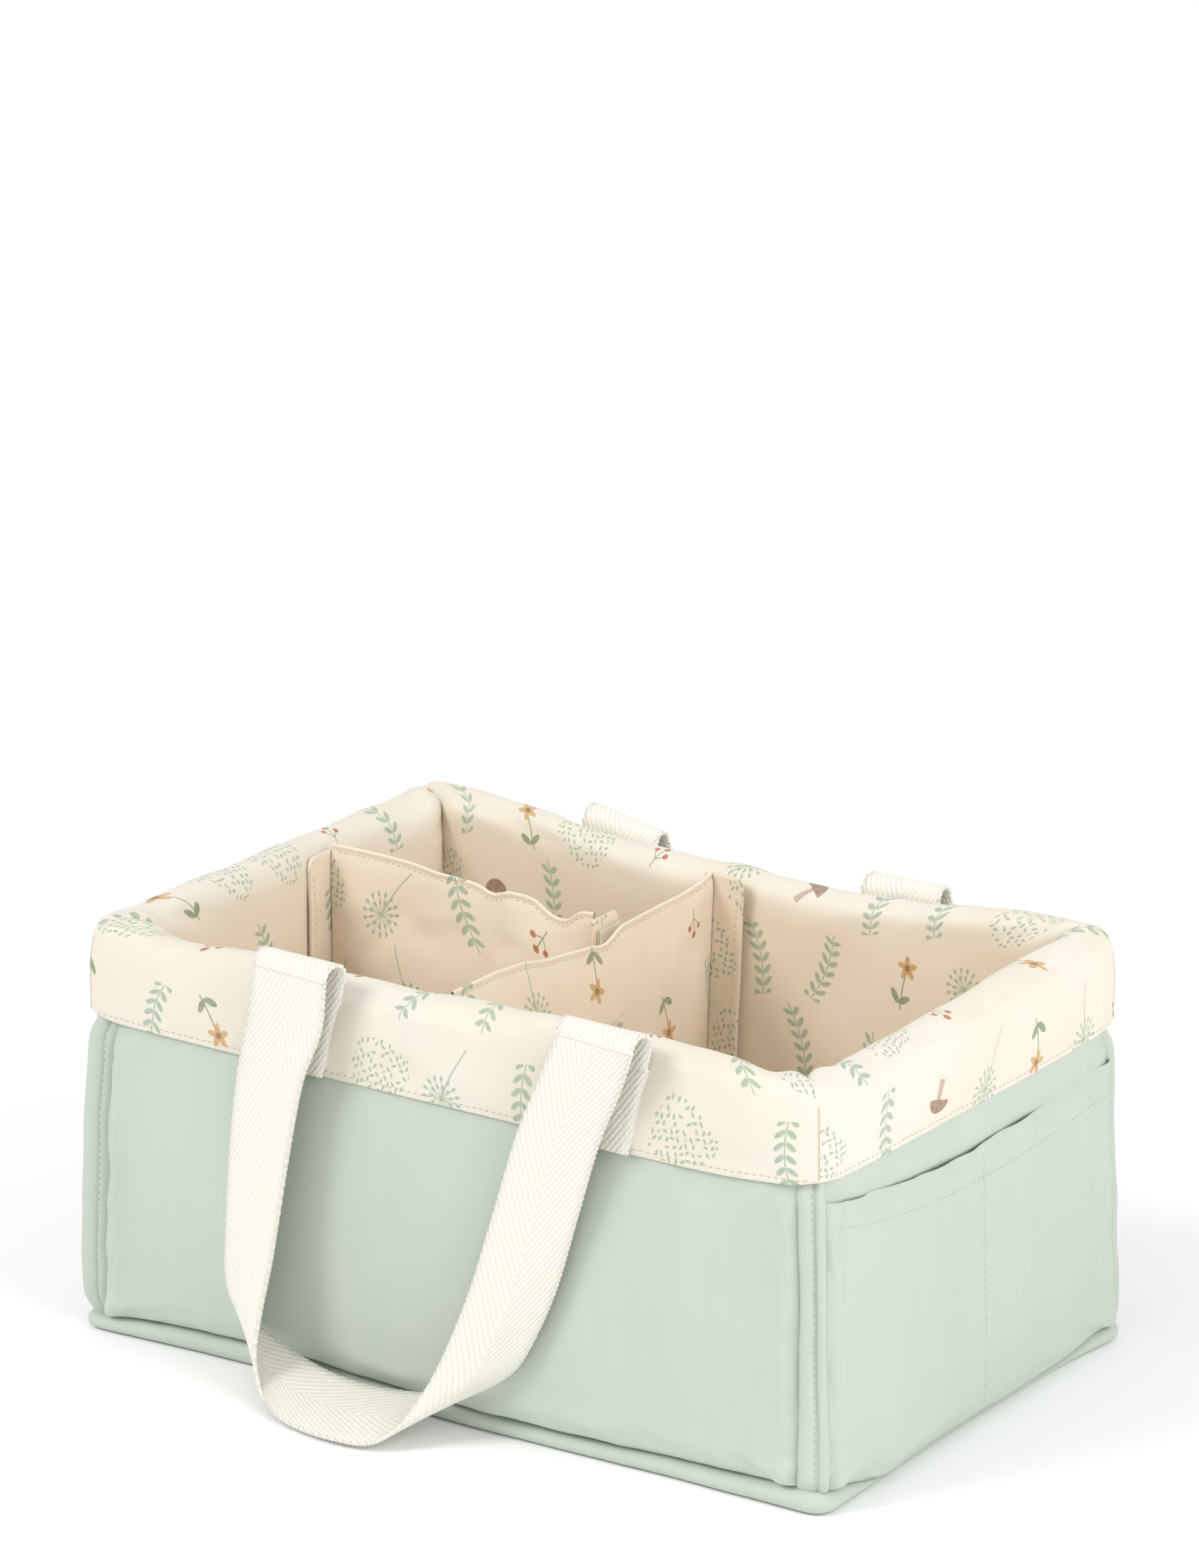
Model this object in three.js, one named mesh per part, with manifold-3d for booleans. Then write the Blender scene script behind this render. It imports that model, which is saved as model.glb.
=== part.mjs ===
// Diaper caddy: a soft box with padded walls, a turned-down cuff, two webbing handles,
// an outer pocket on each end and two dividers that lift out.
// Millimetres, +Z up. The origin is the centre of the underside. The front long side faces -Y.

import * as THREE from 'three';
import { mergeVertices } from 'three/addons/utils/BufferGeometryUtils.js';
import Module from 'manifold-3d';

const wasm = await Module();
wasm.setup();

// Body
const bodyLength = 370;       // over the cuffs, along X
const bodyWidth = 238;        // over the cuffs, along Y
const rimHeight = 188;        // corner of the rim above the table
const wallThickness = 17;     // cuff face to lining face
const clearance = 0.3;        // between pieces that touch
const mitreTrim = 0.25;       // taken off each end of a mitred wall
const cornerRadius = 12;      // plan radius of the soft corners
const longCrown = 10;         // outward swell of a long wall at mid length
const endCrown = 3;           // outward swell of an end wall
const longSag = 3;            // dip of a long rim at mid length
const endSag = 1.5;           // dip of an end rim
const crownHeightShare = 0.5; // height of the fullest swell
const footFadeShare = 0.85;   // swell lost at the base
const rimFadeShare = 0.6;     // swell lost at the rim

// Cloth layers of a wall, from outside in
const cuffCloth = 2;
const panelCloth = 1.5;
const liningCloth = 1.5;
const rimRelief = 0.8;        // room between the padding's round top and the cuff
const cuffDepth = 45;         // rim to hem of the turned-down cuff

// Base and floor
const baseThickness = 9;
const baseProud = 1.5;        // lip of the base beyond the cuff plane
const baseRounding = 3;       // rounding of the lip
const boardThickness = 3;
const floorPadding = 4;

// Outer pockets on the end walls
const pocketRoom = 5.3;       // recess of the end panel behind the pocket
const pocketCloth = 1.6;
const pocketSeam = 2.5;       // width of the joined edges
const pocketFloor = 5;        // base to the pocket's bottom seam
const mouthFrontDepth = 9;    // cuff's hem to the mouth at its two ends and its middle
const mouthMiddleDepth = 22;
const mouthBackDepth = 16;
const recessHeight = 14;      // height over which the panel comes forward above the mouth

// Corner welts
const weltCloth = 1.6;
const weltWidth = 19;         // on the long faces, from the cuff plane of the end
const weltReturn = 10;        // on the end faces, from the cuff plane of the long side

// Webbing handles
const strapWidth = 40;
const strapThickness = 1.8;
const foldRadius = 6;         // strap turning over above the cuff
const foldHeight = 2.5;       // centre of the turn above the rim
const leftTabOffset = 68;     // front tabs to either side of the middle
const rightTabOffset = 86;
const leftTabBackOffset = 78; // the same on the back, seen from behind
const rightTabBackOffset = 70;
const handleLength = 184;     // centre of the turn to the bottom of the loop
const handleDepth = 18;       // how far the loop's bottom stands out from the turn

// Dividers
const crossOffset = 14;       // middle plane of the cross divider, left of the body's middle
const longOffset = 25;        // middle plane of the long divider, behind the body's middle
const dividerCore = 4;
const dividerCloth = 1.2;
const dividerDepth = 8;       // rim to the divider's top
const dividerSag = 5.4;
const flapCloth = 1.8;
const flapWidth = 17;         // beyond the divider's middle plane
const stripCloth = 1.2;       // hook or loop tape
const stripWidth = 16;
const flapInset = 2;          // flap below the divider's top
const tapeInset = 5;          // tape inside the flap's edges
const coreInset = 6;          // core inside the cover's edges

// Counts
const wallSteps = 8;
const arcSteps = 6;
const routeSteps = 4;
const cornerTurn = Math.PI / 18;

const halfLength = bodyLength / 2;
const halfWidth = bodyWidth / 2;
const liningLength = halfLength - wallThickness;
const liningWidth = halfWidth - wallThickness;
const rimRadius = wallThickness / 2;
const shoulder = rimHeight - rimRadius;
const hem = rimHeight - cuffDepth;
const foot = baseThickness + clearance;
const recessTop = hem - panelCloth;
const recessBottom = recessTop - recessHeight;
const panelFace = cuffCloth + clearance;
const panelBack = panelFace + panelCloth;
const paddingFace = panelBack + clearance;
const liningBack = wallThickness - liningCloth;
const paddingBack = liningBack - clearance;
const dividerTop = rimHeight - dividerDepth;
const crossPlace = -crossOffset;
const cornerCutShare = 1 - Math.SQRT1_2;

const longWall = { reach: halfLength, outer: halfWidth, crown: longCrown, sag: longSag, room: 0 };
const endWall = { reach: halfWidth, outer: halfLength, crown: endCrown, sag: endSag, room: pocketRoom };
longWall.neighbour = endWall;
endWall.neighbour = longWall;

const lerp = THREE.MathUtils.lerp;
const smooth = THREE.MathUtils.smoothstep;

// Closed mesh of merged corners, with its faces turned outwards.
function closedMesh(points, triangles) {
  const geometry = new THREE.BufferGeometry();
  geometry.setAttribute('position', new THREE.Float32BufferAttribute(points.flat(), 3));
  const volume = triangles.reduce((sum, [a, b, c]) => {
    const [p, q, r] = [a, b, c].map((i) => new THREE.Vector3(...points[i]));
    return sum + p.dot(q.cross(r));
  }, 0);
  const turned = volume < 0 ? triangles.map(([a, b, c]) => [a, c, b]) : triangles;
  geometry.setIndex(turned.flat());
  return geometry;
}

// Caps of a ring that runs out along one face of a layer and back along the other.
function stripCap(count) {
  const last = count - 1;
  return Array.from({ length: count / 2 - 1 }, (_, i) => (
    [[i, last - i, i + 1], [i + 1, last - i, last - i - 1]])).flat();
}

function shapeCap(outline) {
  const flat = outline.map(([x, y]) => new THREE.Vector2(x, y));
  const faces = THREE.ShapeUtils.triangulateShape(flat, []);
  return THREE.ShapeUtils.isClockWise(flat) ? faces : faces.map((face) => [...face].reverse());
}

// Rings of equal length joined one to the next, with both ends capped. Each four-sided face is
// split from its low corner on one ring to its high corner on the next, so that nested layers agree.
function loft(rings, cap = stripCap(rings[0].length)) {
  const points = rings.flat();
  const count = rings[0].length;
  const triangles = [];
  for (let k = 0; k + 1 < rings.length; k += 1) {
    for (let i = 0; i < count; i += 1) {
      const a = k * count + i;
      const b = k * count + ((i + 1) % count);
      const rising = points[b][2] >= points[a][2];
      if (rising) triangles.push([a, b, b + count], [a, b + count, a + count]);
      else triangles.push([a, b, a + count], [b, b + count, a + count]);
    }
  }
  const last = (rings.length - 1) * count;
  for (const face of cap) {
    triangles.push(face, [...face].reverse().map((i) => last + i));
  }
  return closedMesh(points, triangles);
}

function solid(geometry) {
  const plain = geometry.clone();
  plain.deleteAttribute('normal');
  plain.deleteAttribute('uv');
  const merged = mergeVertices(plain);
  const vertProperties = new Float32Array(merged.attributes.position.array);
  const triVerts = new Uint32Array(merged.index.array);
  return new wasm.Manifold(new wasm.Mesh({ numProp: 3, vertProperties, triVerts }));
}

function geometryOf(manifold) {
  const mesh = manifold.getMesh();
  const geometry = new THREE.BufferGeometry();
  geometry.setAttribute('position', new THREE.Float32BufferAttribute(mesh.vertProperties, 3));
  geometry.setIndex(Array.from(mesh.triVerts));
  return geometry;
}

// Outward swell of a wall, full between its corners and at half height.
function swell(wall, share, height) {
  const rise = height / rimHeight;
  const below = Math.max(0, crownHeightShare - rise) / crownHeightShare;
  const above = Math.max(0, rise - crownHeightShare) / (1 - crownHeightShare);
  const fade = footFadeShare * below ** 2 + rimFadeShare * above ** 2;
  return wall.crown * (1 - Math.abs(share) ** 3) * (1 - fade);
}

// How far a soft corner draws the wall's end inwards.
function cornerDraw(wall, share) {
  const start = 1 - cornerRadius / wall.reach;
  const turn = Math.max(0, Math.abs(share) - start) / (1 - start);
  return cornerRadius * cornerCutShare * turn ** 2;
}

// Recess of an end panel behind its pocket, which keeps the panel flat there.
function recess(wall, share, height) {
  const depth = wall.room > 0 ? wall.room + swell(wall, share, height) : 0;
  return depth * (1 - smooth(height, recessBottom, recessTop));
}

// Outer layers follow the swell in full, and the lining stays flat.
function layerShare(depth) {
  const share = (paddingBack - depth) / (paddingBack - paddingFace);
  return THREE.MathUtils.clamp(share, 0, 1);
}

// Distance of a layer from the middle of the body. Depth is counted from the cuff plane.
function outward(wall, share, depth, height, overPocket = false) {
  const drawn = overPocket ? 0 : recess(wall, share, height);
  const shift = swell(wall, share, height) - cornerDraw(wall, share) - drawn;
  return wall.outer - depth + shift * layerShare(depth);
}

function wallEnd(wall, depth, height, overPocket = false) {
  return outward(wall.neighbour, 1, depth, height, overPocket) - mitreTrim;
}

function settled(wall, share, height) {
  return height - wall.sag * (1 - share ** 2) * smooth(height, rimHeight * crownHeightShare, rimHeight);
}

// A point of a wall that faces -Y, at a share of its length, a depth and a height.
function wallPoint(wall, share, depth, height, overPocket = false) {
  return [
    share * wallEnd(wall, depth, height, overPocket),
    -outward(wall, share, depth, height, overPocket),
    settled(wall, share, height),
  ];
}

// The same for a place along the wall in millimetres.
function placeOnWall(wall, along, depth, height, overPocket = false) {
  const share = along / wallEnd(wall, depth, height, overPocket);
  return wallPoint(wall, THREE.MathUtils.clamp(share, -1, 1), depth, height, overPocket);
}

// Stations along a wall, closer together in its soft corners.
function wallShares(wall) {
  const start = 1 - cornerRadius / wall.reach;
  const middle = Array.from({ length: wallSteps + 1 }, (_, i) => lerp(-start, start, i / wallSteps));
  return [-1, -(1 + start) / 2, ...middle, (1 + start) / 2, 1];
}

// A layer of a wall from pairs of points, one on its outer face and one on its inner face.
function wallLoft(wall, pairs) {
  const outside = pairs.map(([face]) => face);
  const inside = pairs.map(([, back]) => back).reverse();
  const rings = wallShares(wall).map((share) => [...outside, ...inside].map(([depth, height]) => (
    wallPoint(wall, share, depth, height))));
  return loft(rings);
}

// A point of the round rim. The angle is zero on the outside and half a turn on the inside.
function rimPoint(radius, angle) {
  return [rimRadius - radius * Math.cos(angle), shoulder + radius * Math.sin(angle)];
}

const panelTop = shoulder - clearance;
const panelHeights = [
  foot, lerp(foot, recessBottom, 1 / 4), lerp(foot, recessBottom, 1 / 2), lerp(foot, recessBottom, 3 / 4),
  recessBottom, lerp(recessBottom, recessTop, 1 / 2), recessTop,
];

function sheetPairs(face, back, heights) {
  return heights.map((height) => [[face, height], [back, height]]);
}

const panelPairs = () => sheetPairs(panelFace, panelBack, [...panelHeights, panelTop]);
const liningPairs = () => sheetPairs(liningBack, wallThickness, [foot, panelTop]);

// Padding fills the wall and the round of the rim.
function paddingPairs() {
  const radius = rimRadius - cuffCloth - rimRelief;
  const faceAngle = Math.acos((rimRadius - paddingFace) / radius);
  const rounds = [1 / 3, 2 / 3, 1].map((step) => [
    rimPoint(radius, lerp(faceAngle, Math.PI / 2 - cornerTurn, step)),
    rimPoint(radius, lerp(Math.PI - cornerTurn, Math.PI / 2 + cornerTurn, step)),
  ]);
  return [...sheetPairs(paddingFace, paddingBack, panelHeights), ...rounds];
}

// The cuff comes up the outside, over the rim and ends on top of the lining.
function cuffPairs() {
  const heights = [hem, lerp(hem, shoulder, 1 / 3), lerp(hem, shoulder, 2 / 3)];
  const angles = Array.from({ length: arcSteps + 1 }, (_, i) => Math.PI * i / arcSteps);
  const round = angles.map((angle) => [rimPoint(rimRadius, angle), rimPoint(rimRadius - cuffCloth, angle)]);
  return [...sheetPairs(0, cuffCloth, heights), ...round];
}

// Corner welt: a strip of end-panel cloth wrapped round the corner on to the long face.
function cornerWelt() {
  const outerDepth = panelFace - clearance - weltCloth;
  const innerDepth = panelFace - clearance;
  const bend = 1 - cornerRadius / longWall.reach / 2;
  const heights = [...panelHeights.slice(0, -1), recessTop - clearance];
  const rings = heights.map((height) => {
    const onLong = (depth, over) => {
      const first = (halfLength - weltWidth) / wallEnd(longWall, depth, height, over);
      return [first, bend, 1].map((share) => wallPoint(longWall, share, depth, height, over));
    };
    const onEnd = (depth, over) => {
      const first = (halfWidth - weltReturn) / wallEnd(endWall, depth, height, over);
      return [first, 1].map((share) => wallPoint(endWall, share, depth, height, over))
        .map(([x, y, z]) => [-y, -x, z]);
    };
    return [...onLong(outerDepth, true), ...onEnd(outerDepth, true).reverse(),
      ...onEnd(innerDepth, false), ...onLong(innerDepth, false).reverse()];
  });
  return loft(rings);
}

// Mouth of a pocket, highest at its front end and lowest in the middle.
function pocketMouth(share) {
  const end = share < 0 ? mouthFrontDepth : mouthBackDepth;
  return hem - lerp(mouthMiddleDepth, end, share ** 2);
}

// Outer pocket: a panel joined along its sides and bottom, standing clear of the wall behind.
function pocket() {
  const face = panelFace - clearance - pocketCloth;
  const back = panelFace - clearance;
  const bottom = foot + pocketFloor;
  const end = wallEnd(endWall, face, bottom);
  const edge = (halfWidth - weltReturn - clearance) / end;
  const across = [-edge, ...wallShares(endWall).filter((share) => Math.abs(share) < edge), edge];
  const inner = edge - pocketSeam / end;
  const place = (share, depth, height, over) => {
    const [x, y] = wallPoint(endWall, share, depth, height, over);
    return [x, y, height];
  };
  const sheetRing = (rise) => {
    const heightAt = (share) => lerp(bottom, pocketMouth(share), rise);
    const outside = across.map((share) => place(share, face, heightAt(share), true));
    const inside = across.map((share) => THREE.MathUtils.clamp(share, -inner, inner)).reverse()
      .map((share) => place(share, back, heightAt(share), true));
    const seam = (share) => place(share, back, heightAt(share), false);
    return [...outside, seam(edge), seam(inner), ...inside, seam(-inner), seam(-edge)];
  };
  const seamRing = (height) => [...across.map((share) => place(share, face, height, true)),
    ...across.map((share) => place(-share, back, height, false))];
  const sheet = [0, 1 / 4, 1 / 2, 3 / 4, 1].map(sheetRing);
  const seam = [bottom, bottom + pocketSeam].map(seamRing);
  return geometryOf(solid(loft(sheet, shapeCap(sheet[0]))).add(solid(loft(seam))));
}

function roundedPlan(length, width, radius) {
  const shape = new THREE.Shape();
  const x = length - radius;
  const y = width - radius;
  shape.absarc(x, y, radius, 0, Math.PI / 2);
  shape.absarc(-x, y, radius, Math.PI / 2, Math.PI);
  shape.absarc(-x, -y, radius, Math.PI, Math.PI * 3 / 2);
  shape.absarc(x, -y, radius, Math.PI * 3 / 2, Math.PI * 2);
  return shape;
}

function slab(length, width, radius, bottom, thickness, rounding = 0) {
  const shape = roundedPlan(length - rounding, width - rounding, radius);
  const geometry = new THREE.ExtrudeGeometry(shape, {
    depth: thickness - 2 * rounding, curveSegments: arcSteps, bevelEnabled: rounding > 0,
    bevelThickness: rounding, bevelSize: rounding, bevelSegments: 2,
  });
  geometry.translate(0, 0, bottom + rounding);
  return geometry;
}

function block(x0, x1, y0, y1, z0, z1) {
  const geometry = new THREE.BoxGeometry(x1 - x0, y1 - y0, z1 - z0);
  geometry.translate((x0 + x1) / 2, (y0 + y1) / 2, (z0 + z1) / 2);
  return geometry;
}

// Handle: tabs sewn on the cuff, a turn above the rim and a loop that hangs in front.
const tabFace = outward(longWall, 0, -clearance, shoulder);
const turnOut = tabFace + strapThickness / 2 + foldRadius;
const turnHeight = rimHeight + foldHeight;

function tab(centre) {
  const heights = Array.from({ length: arcSteps + 1 }, (_, i) => lerp(hem, shoulder, i / arcSteps));
  const across = [-1 / 2, -1 / 4, 0, 1 / 4, 1 / 2].map((share) => centre + share * strapWidth);
  const rings = heights.map((height) => {
    const inside = across.map((along) => placeOnWall(longWall, along, -clearance, height));
    return [...inside, ...inside.map(([x, y, z]) => [x, y - strapThickness, z]).reverse()];
  });
  const top = across.map((along) => [along, -tabFace, turnHeight - clearance]);
  rings.push([...top, ...top.map(([x, y, z]) => [x, y - strapThickness, z]).reverse()]);
  return loft(rings);
}

function fold(centre) {
  const shape = new THREE.Shape();
  shape.absarc(0, 0, foldRadius + strapThickness / 2, 0, Math.PI);
  shape.absarc(0, 0, foldRadius - strapThickness / 2, Math.PI, 0, true);
  const geometry = new THREE.ExtrudeGeometry(shape, {
    depth: strapWidth, curveSegments: 2 * arcSteps, bevelEnabled: false,
  });
  geometry.rotateX(Math.PI / 2);
  geometry.rotateZ(Math.PI / 2);
  geometry.translate(centre - strapWidth / 2, -turnOut, turnHeight);
  return geometry;
}

// Route of the hanging loop from the left turn to the right one: shares of the span between the tabs,
// of handleDepth and of handleLength, then the strap's turn about Z and its tilt, in degrees.
const handleRouteShares = [
  [0, 0.333, 0, 180, 0],
  [-0.008, 0.364, 0.12, 175, -2],
  [-0.045, 0.4, 0.25, 168, -3],
  [-0.09, 0.392, 0.45, 163, -2],
  [-0.13, 0.378, 0.68, 156, -2],
  [-0.15, 0.395, 0.8, 149, 3],
  [-0.145, 0.44, 0.885, 140, 12],
  [-0.105, 0.49, 0.938, 131, 20],
  [-0.045, 0.62, 0.965, 122, 22],
  [0.04, 0.82, 0.984, 112, 19],
  [0.15, 0.99, 0.994, 106, 15],
  [0.28, 1.05, 0.995, 98, 13],
  [0.42, 0.96, 0.984, 82, 16],
  [0.525, 0.77, 0.952, 60, 17],
  [0.605, 0.53, 0.885, 34, 17],
  [0.665, 0.38, 0.8, 20, 14],
  [0.75, 0.3, 0.633, 12, 10],
  [0.825, 0.3, 0.44, 6, 8],
  [0.9, 0.32, 0.245, 3, 6],
  [0.955, 0.33, 0.114, 1, 3],
  [1, 0.333, 0, 0, 0],
];

function handle(left, right) {
  const start = turnHeight - clearance;
  const route = handleRouteShares.map(([across, out, drop, turn, tilt]) => {
    const centre = new THREE.Vector3(
      lerp(left, right, across), -(turnOut + out * handleDepth), start - drop * handleLength);
    const [a, b] = [turn, tilt].map(THREE.MathUtils.degToRad);
    const side = new THREE.Vector3(Math.cos(a) * Math.cos(b), Math.sin(a) * Math.cos(b), Math.sin(b));
    return { centre, side: side.multiplyScalar(strapWidth / 2) };
  });
  const edges = [1, -1].map((sign) => new THREE.CatmullRomCurve3(
    route.map(({ centre, side }) => centre.clone().addScaledVector(side, sign)), false, 'catmullrom'));
  const steps = (route.length - 1) * routeSteps;
  const rings = Array.from({ length: steps + 1 }, (_, i) => {
    const [far, near] = edges.map((edge) => edge.getPoint(i / steps));
    const [farWay, nearWay] = edges.map((edge) => edge.getTangent(i / steps));
    const width = far.clone().sub(near).normalize();
    const level = i === 0 || i === steps;
    const way = level ? new THREE.Vector3(0, 0, i === 0 ? -1 : 1) : farWay.add(nearWay);
    const thick = way.cross(width).normalize().multiplyScalar(strapThickness / 2);
    const face = [far, near].map((edge) => edge.clone().add(thick).toArray());
    const back = [near, far].map((edge) => edge.clone().sub(thick).toArray());
    return [...face, ...back];
  });
  return loft(rings);
}

// Top edge of a divider, lowest near its middle.
function dividerEdge(share, height) {
  return height - dividerSag * Math.sin(Math.PI * share);
}

// Cover of a divider: one cloth over the core's two faces and its top, open below.
function dividerCover(from, to, bottom) {
  const half = dividerCore / 2 + clearance;
  const outer = half + dividerCloth;
  const shares = Array.from({ length: wallSteps + 1 }, (_, i) => i / wallSteps);
  const rings = shares.map((share) => {
    const top = dividerEdge(share, dividerTop);
    const x = lerp(from, to, share);
    const right = [[outer, top - outer], [outer, bottom], [half, bottom], [half, top - outer]];
    const left = right.map(([y, z]) => [-y, z]).reverse();
    return [[-half, top - clearance], [half, top - clearance], ...right, ...left].map(([y, z]) => [x, y, z]);
  });
  return loft(rings, shapeCap(rings[0].map(([, y, z]) => [y, z])));
}

function dividerCoreBoard(from, to, bottom) {
  const half = dividerCore / 2;
  const shares = Array.from({ length: wallSteps + 1 }, (_, i) => i / wallSteps);
  const low = bottom + clearance;
  const rings = shares.map((share) => {
    const x = lerp(from + coreInset, to - coreInset, share);
    const top = dividerEdge((x - from) / (to - from), dividerTop) - half - dividerCloth - 2 * clearance;
    return [[x, -half, low], [x, -half, top], [x, half, top], [x, half, low]];
  });
  return loft(rings, shapeCap(rings[0].map(([, y, z]) => [y, z])));
}

// Tape and flap that join a divider's end to a face at x = 0, which looks along +X.
function endJoint(side, bottom) {
  const thick = dividerCore / 2 + clearance + dividerCloth;
  const span = side > 0 ? [-thick, flapWidth] : [-flapWidth, thick];
  const middle = (span[0] + span[1]) / 2;
  const tape = [middle - stripWidth / 2, middle + stripWidth / 2];
  const top = dividerTop - flapInset;
  const low = bottom + tapeInset;
  const high = top - tapeInset;
  const loop = block(clearance, clearance + stripCloth, ...tape, low, high);
  const hook = block(2 * clearance + stripCloth, 2 * (clearance + stripCloth), ...tape, low, high);
  const flapBack = 3 * clearance + 2 * stripCloth;
  const flap = block(flapBack, flapBack + flapCloth, ...span, bottom, top);
  return { loop, hook, flap, end: flapBack + flapCloth + clearance };
}

const group = new THREE.Group();
const colours = {
  sage: 0xcfdbd1, cream: 0xf3e8d8, lining: 0xf0e2cd, webbing: 0xf8f6ee, board: 0xb9a98c,
  padding: 0xf4f2ec, tape: 0xeee6d6,
};
const mattRoughness = 0.85;
const satinRoughness = 0.62;
const finishes = Object.fromEntries(Object.entries(colours).map(([name, color]) => {
  const roughness = name === 'sage' ? satinRoughness : mattRoughness;
  return [name, new THREE.MeshStandardMaterial({ color, roughness, metalness: 0 })];
}));

function add(name, geometry, finish, parent = group) {
  const mesh = new THREE.Mesh(geometry, finishes[finish]);
  mesh.name = name;
  parent.add(mesh);
  return mesh;
}

// Each wall is made facing the front and turned to its side.
const quarter = Math.PI / 2;
const sides = [
  { name: 'front', wall: longWall, turn: 0 },
  { name: 'right', wall: endWall, turn: quarter },
  { name: 'back', wall: longWall, turn: 2 * quarter },
  { name: 'left', wall: endWall, turn: 3 * quarter },
];
for (const { name, wall, turn } of sides) {
  const side = new THREE.Group();
  side.rotation.z = turn;
  group.add(side);
  add(`outer_panel_${name}`, wallLoft(wall, panelPairs()), 'sage', side);
  add(`wall_padding_${name}`, wallLoft(wall, paddingPairs()), 'padding', side);
  add(`lining_${name}`, wallLoft(wall, liningPairs()), 'lining', side);
  add(`cuff_${name}`, wallLoft(wall, cuffPairs()), 'cream', side);
  if (wall === endWall) add(`pocket_${name}`, pocket(), 'sage', side);
}

const corners = [['front_right', 1, 1], ['front_left', -1, 1], ['back_right', 1, -1], ['back_left', -1, -1]];
for (const [name, x, y] of corners) {
  const welt = cornerWelt();
  welt.scale(x, y, 1);
  if (x * y < 0) welt.setIndex(Array.from(welt.index.array).reverse());
  add(`corner_welt_${name}`, welt, 'sage');
}

// Base and floor
const floorLength = liningLength - clearance;
const floorWidth = liningWidth - clearance;
const boardBottom = foot;
const padBottom = boardBottom + boardThickness + clearance;
const floorBottom = padBottom + floorPadding + clearance;
const floorTop = floorBottom + liningCloth;
const baseLength = halfLength + baseProud;
const baseWidth = halfWidth + baseProud;
add('base_cover', slab(baseLength, baseWidth, cornerRadius, 0, baseThickness, baseRounding), 'sage');
add('base_board', slab(floorLength, floorWidth, liningCloth, boardBottom, boardThickness), 'board');
add('floor_padding', slab(floorLength, floorWidth, liningCloth, padBottom, floorPadding), 'padding');
add('lining_floor', slab(floorLength, floorWidth, liningCloth, floorBottom, liningCloth), 'lining');

// Handles
const handles = [
  { name: 'front', left: -leftTabOffset, right: rightTabOffset, turn: 0 },
  { name: 'back', left: -leftTabBackOffset, right: rightTabBackOffset, turn: 2 * quarter },
];
for (const { name, left, right, turn } of handles) {
  const side = new THREE.Group();
  side.rotation.z = turn;
  group.add(side);
  for (const [end, centre] of [['left', left], ['right', right]]) {
    add(`handle_tab_${name}_${end}`, tab(centre), 'webbing', side);
    add(`handle_fold_${name}_${end}`, fold(centre), 'webbing', side);
  }
  add(`handle_${name}`, handle(left, right), 'webbing', side);
}

// Cross divider, made along +X and turned to run from the front lining to the back one.
const dividerBottom = floorTop + clearance;
const nearJoint = endJoint(1, dividerBottom);
const farJoint = endJoint(-1, dividerBottom);
const cross = new THREE.Group();
cross.position.set(crossPlace, -liningWidth, 0);
cross.rotation.z = quarter;
group.add(cross);
const crossLength = 2 * liningWidth;
const dividerHalf = dividerCore / 2 + clearance + dividerCloth;
const crossEnds = [nearJoint.end, crossLength - nearJoint.end];
add('cross_divider_cover', dividerCover(...crossEnds, dividerBottom), 'lining', cross);
add('cross_divider_core', dividerCoreBoard(...crossEnds, dividerBottom), 'board', cross);

// Long divider, from the left lining to the tape on the cross divider.
const long = new THREE.Group();
long.position.set(-liningLength, longOffset, 0);
group.add(long);
const longLength = liningLength + crossPlace - dividerHalf;
const longEnds = [nearJoint.end, longLength - nearJoint.end];
add('long_divider_cover', dividerCover(...longEnds, dividerBottom), 'lining', long);
add('long_divider_core', dividerCoreBoard(...longEnds, dividerBottom), 'board', long);

function jointAt(parent, at, turn, joint, names) {
  const place = new THREE.Group();
  place.position.x = at;
  place.rotation.z = turn;
  parent.add(place);
  add(names[0], joint.loop, 'tape', place);
  add(names[1], joint.hook, 'tape', place);
  add(names[2], joint.flap, 'lining', place);
}
jointAt(cross, 0, 0, farJoint, ['loop_tape_front', 'cross_divider_hook_front', 'cross_divider_flap_front']);
jointAt(cross, crossLength, Math.PI, nearJoint,
  ['loop_tape_back', 'cross_divider_hook_back', 'cross_divider_flap_back']);
jointAt(long, 0, 0, farJoint, ['loop_tape_left', 'long_divider_hook_left', 'long_divider_flap_left']);
jointAt(long, longLength, Math.PI, farJoint,
  ['loop_tape_cross_divider', 'long_divider_hook_right', 'long_divider_flap_right']);

export default group;
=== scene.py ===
"""Looks of the diaper caddy: a padded cotton basket with a printed lining and cuff, webbing
handles and two removable dividers. Lengths are in millimetres until a mesh is made."""
import math

import bmesh
import bpy
from mathutils import Matrix, Vector, noise
from mathutils.bvhtree import BVHTree


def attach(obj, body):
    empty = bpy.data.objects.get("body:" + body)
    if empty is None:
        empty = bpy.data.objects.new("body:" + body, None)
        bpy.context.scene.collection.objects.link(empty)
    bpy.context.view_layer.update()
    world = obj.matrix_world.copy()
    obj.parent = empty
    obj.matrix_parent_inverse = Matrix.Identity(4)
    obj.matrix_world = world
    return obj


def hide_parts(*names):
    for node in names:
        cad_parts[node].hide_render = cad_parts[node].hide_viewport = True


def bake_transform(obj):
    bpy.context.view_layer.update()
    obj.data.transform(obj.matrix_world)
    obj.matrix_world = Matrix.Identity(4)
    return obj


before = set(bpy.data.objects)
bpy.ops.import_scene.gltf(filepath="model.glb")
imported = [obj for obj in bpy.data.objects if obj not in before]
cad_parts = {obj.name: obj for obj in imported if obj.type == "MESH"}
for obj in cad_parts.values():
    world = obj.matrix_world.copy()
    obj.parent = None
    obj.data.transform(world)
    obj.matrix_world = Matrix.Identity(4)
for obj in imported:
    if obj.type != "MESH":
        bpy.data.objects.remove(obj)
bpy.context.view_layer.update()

MM = 0.001

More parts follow.
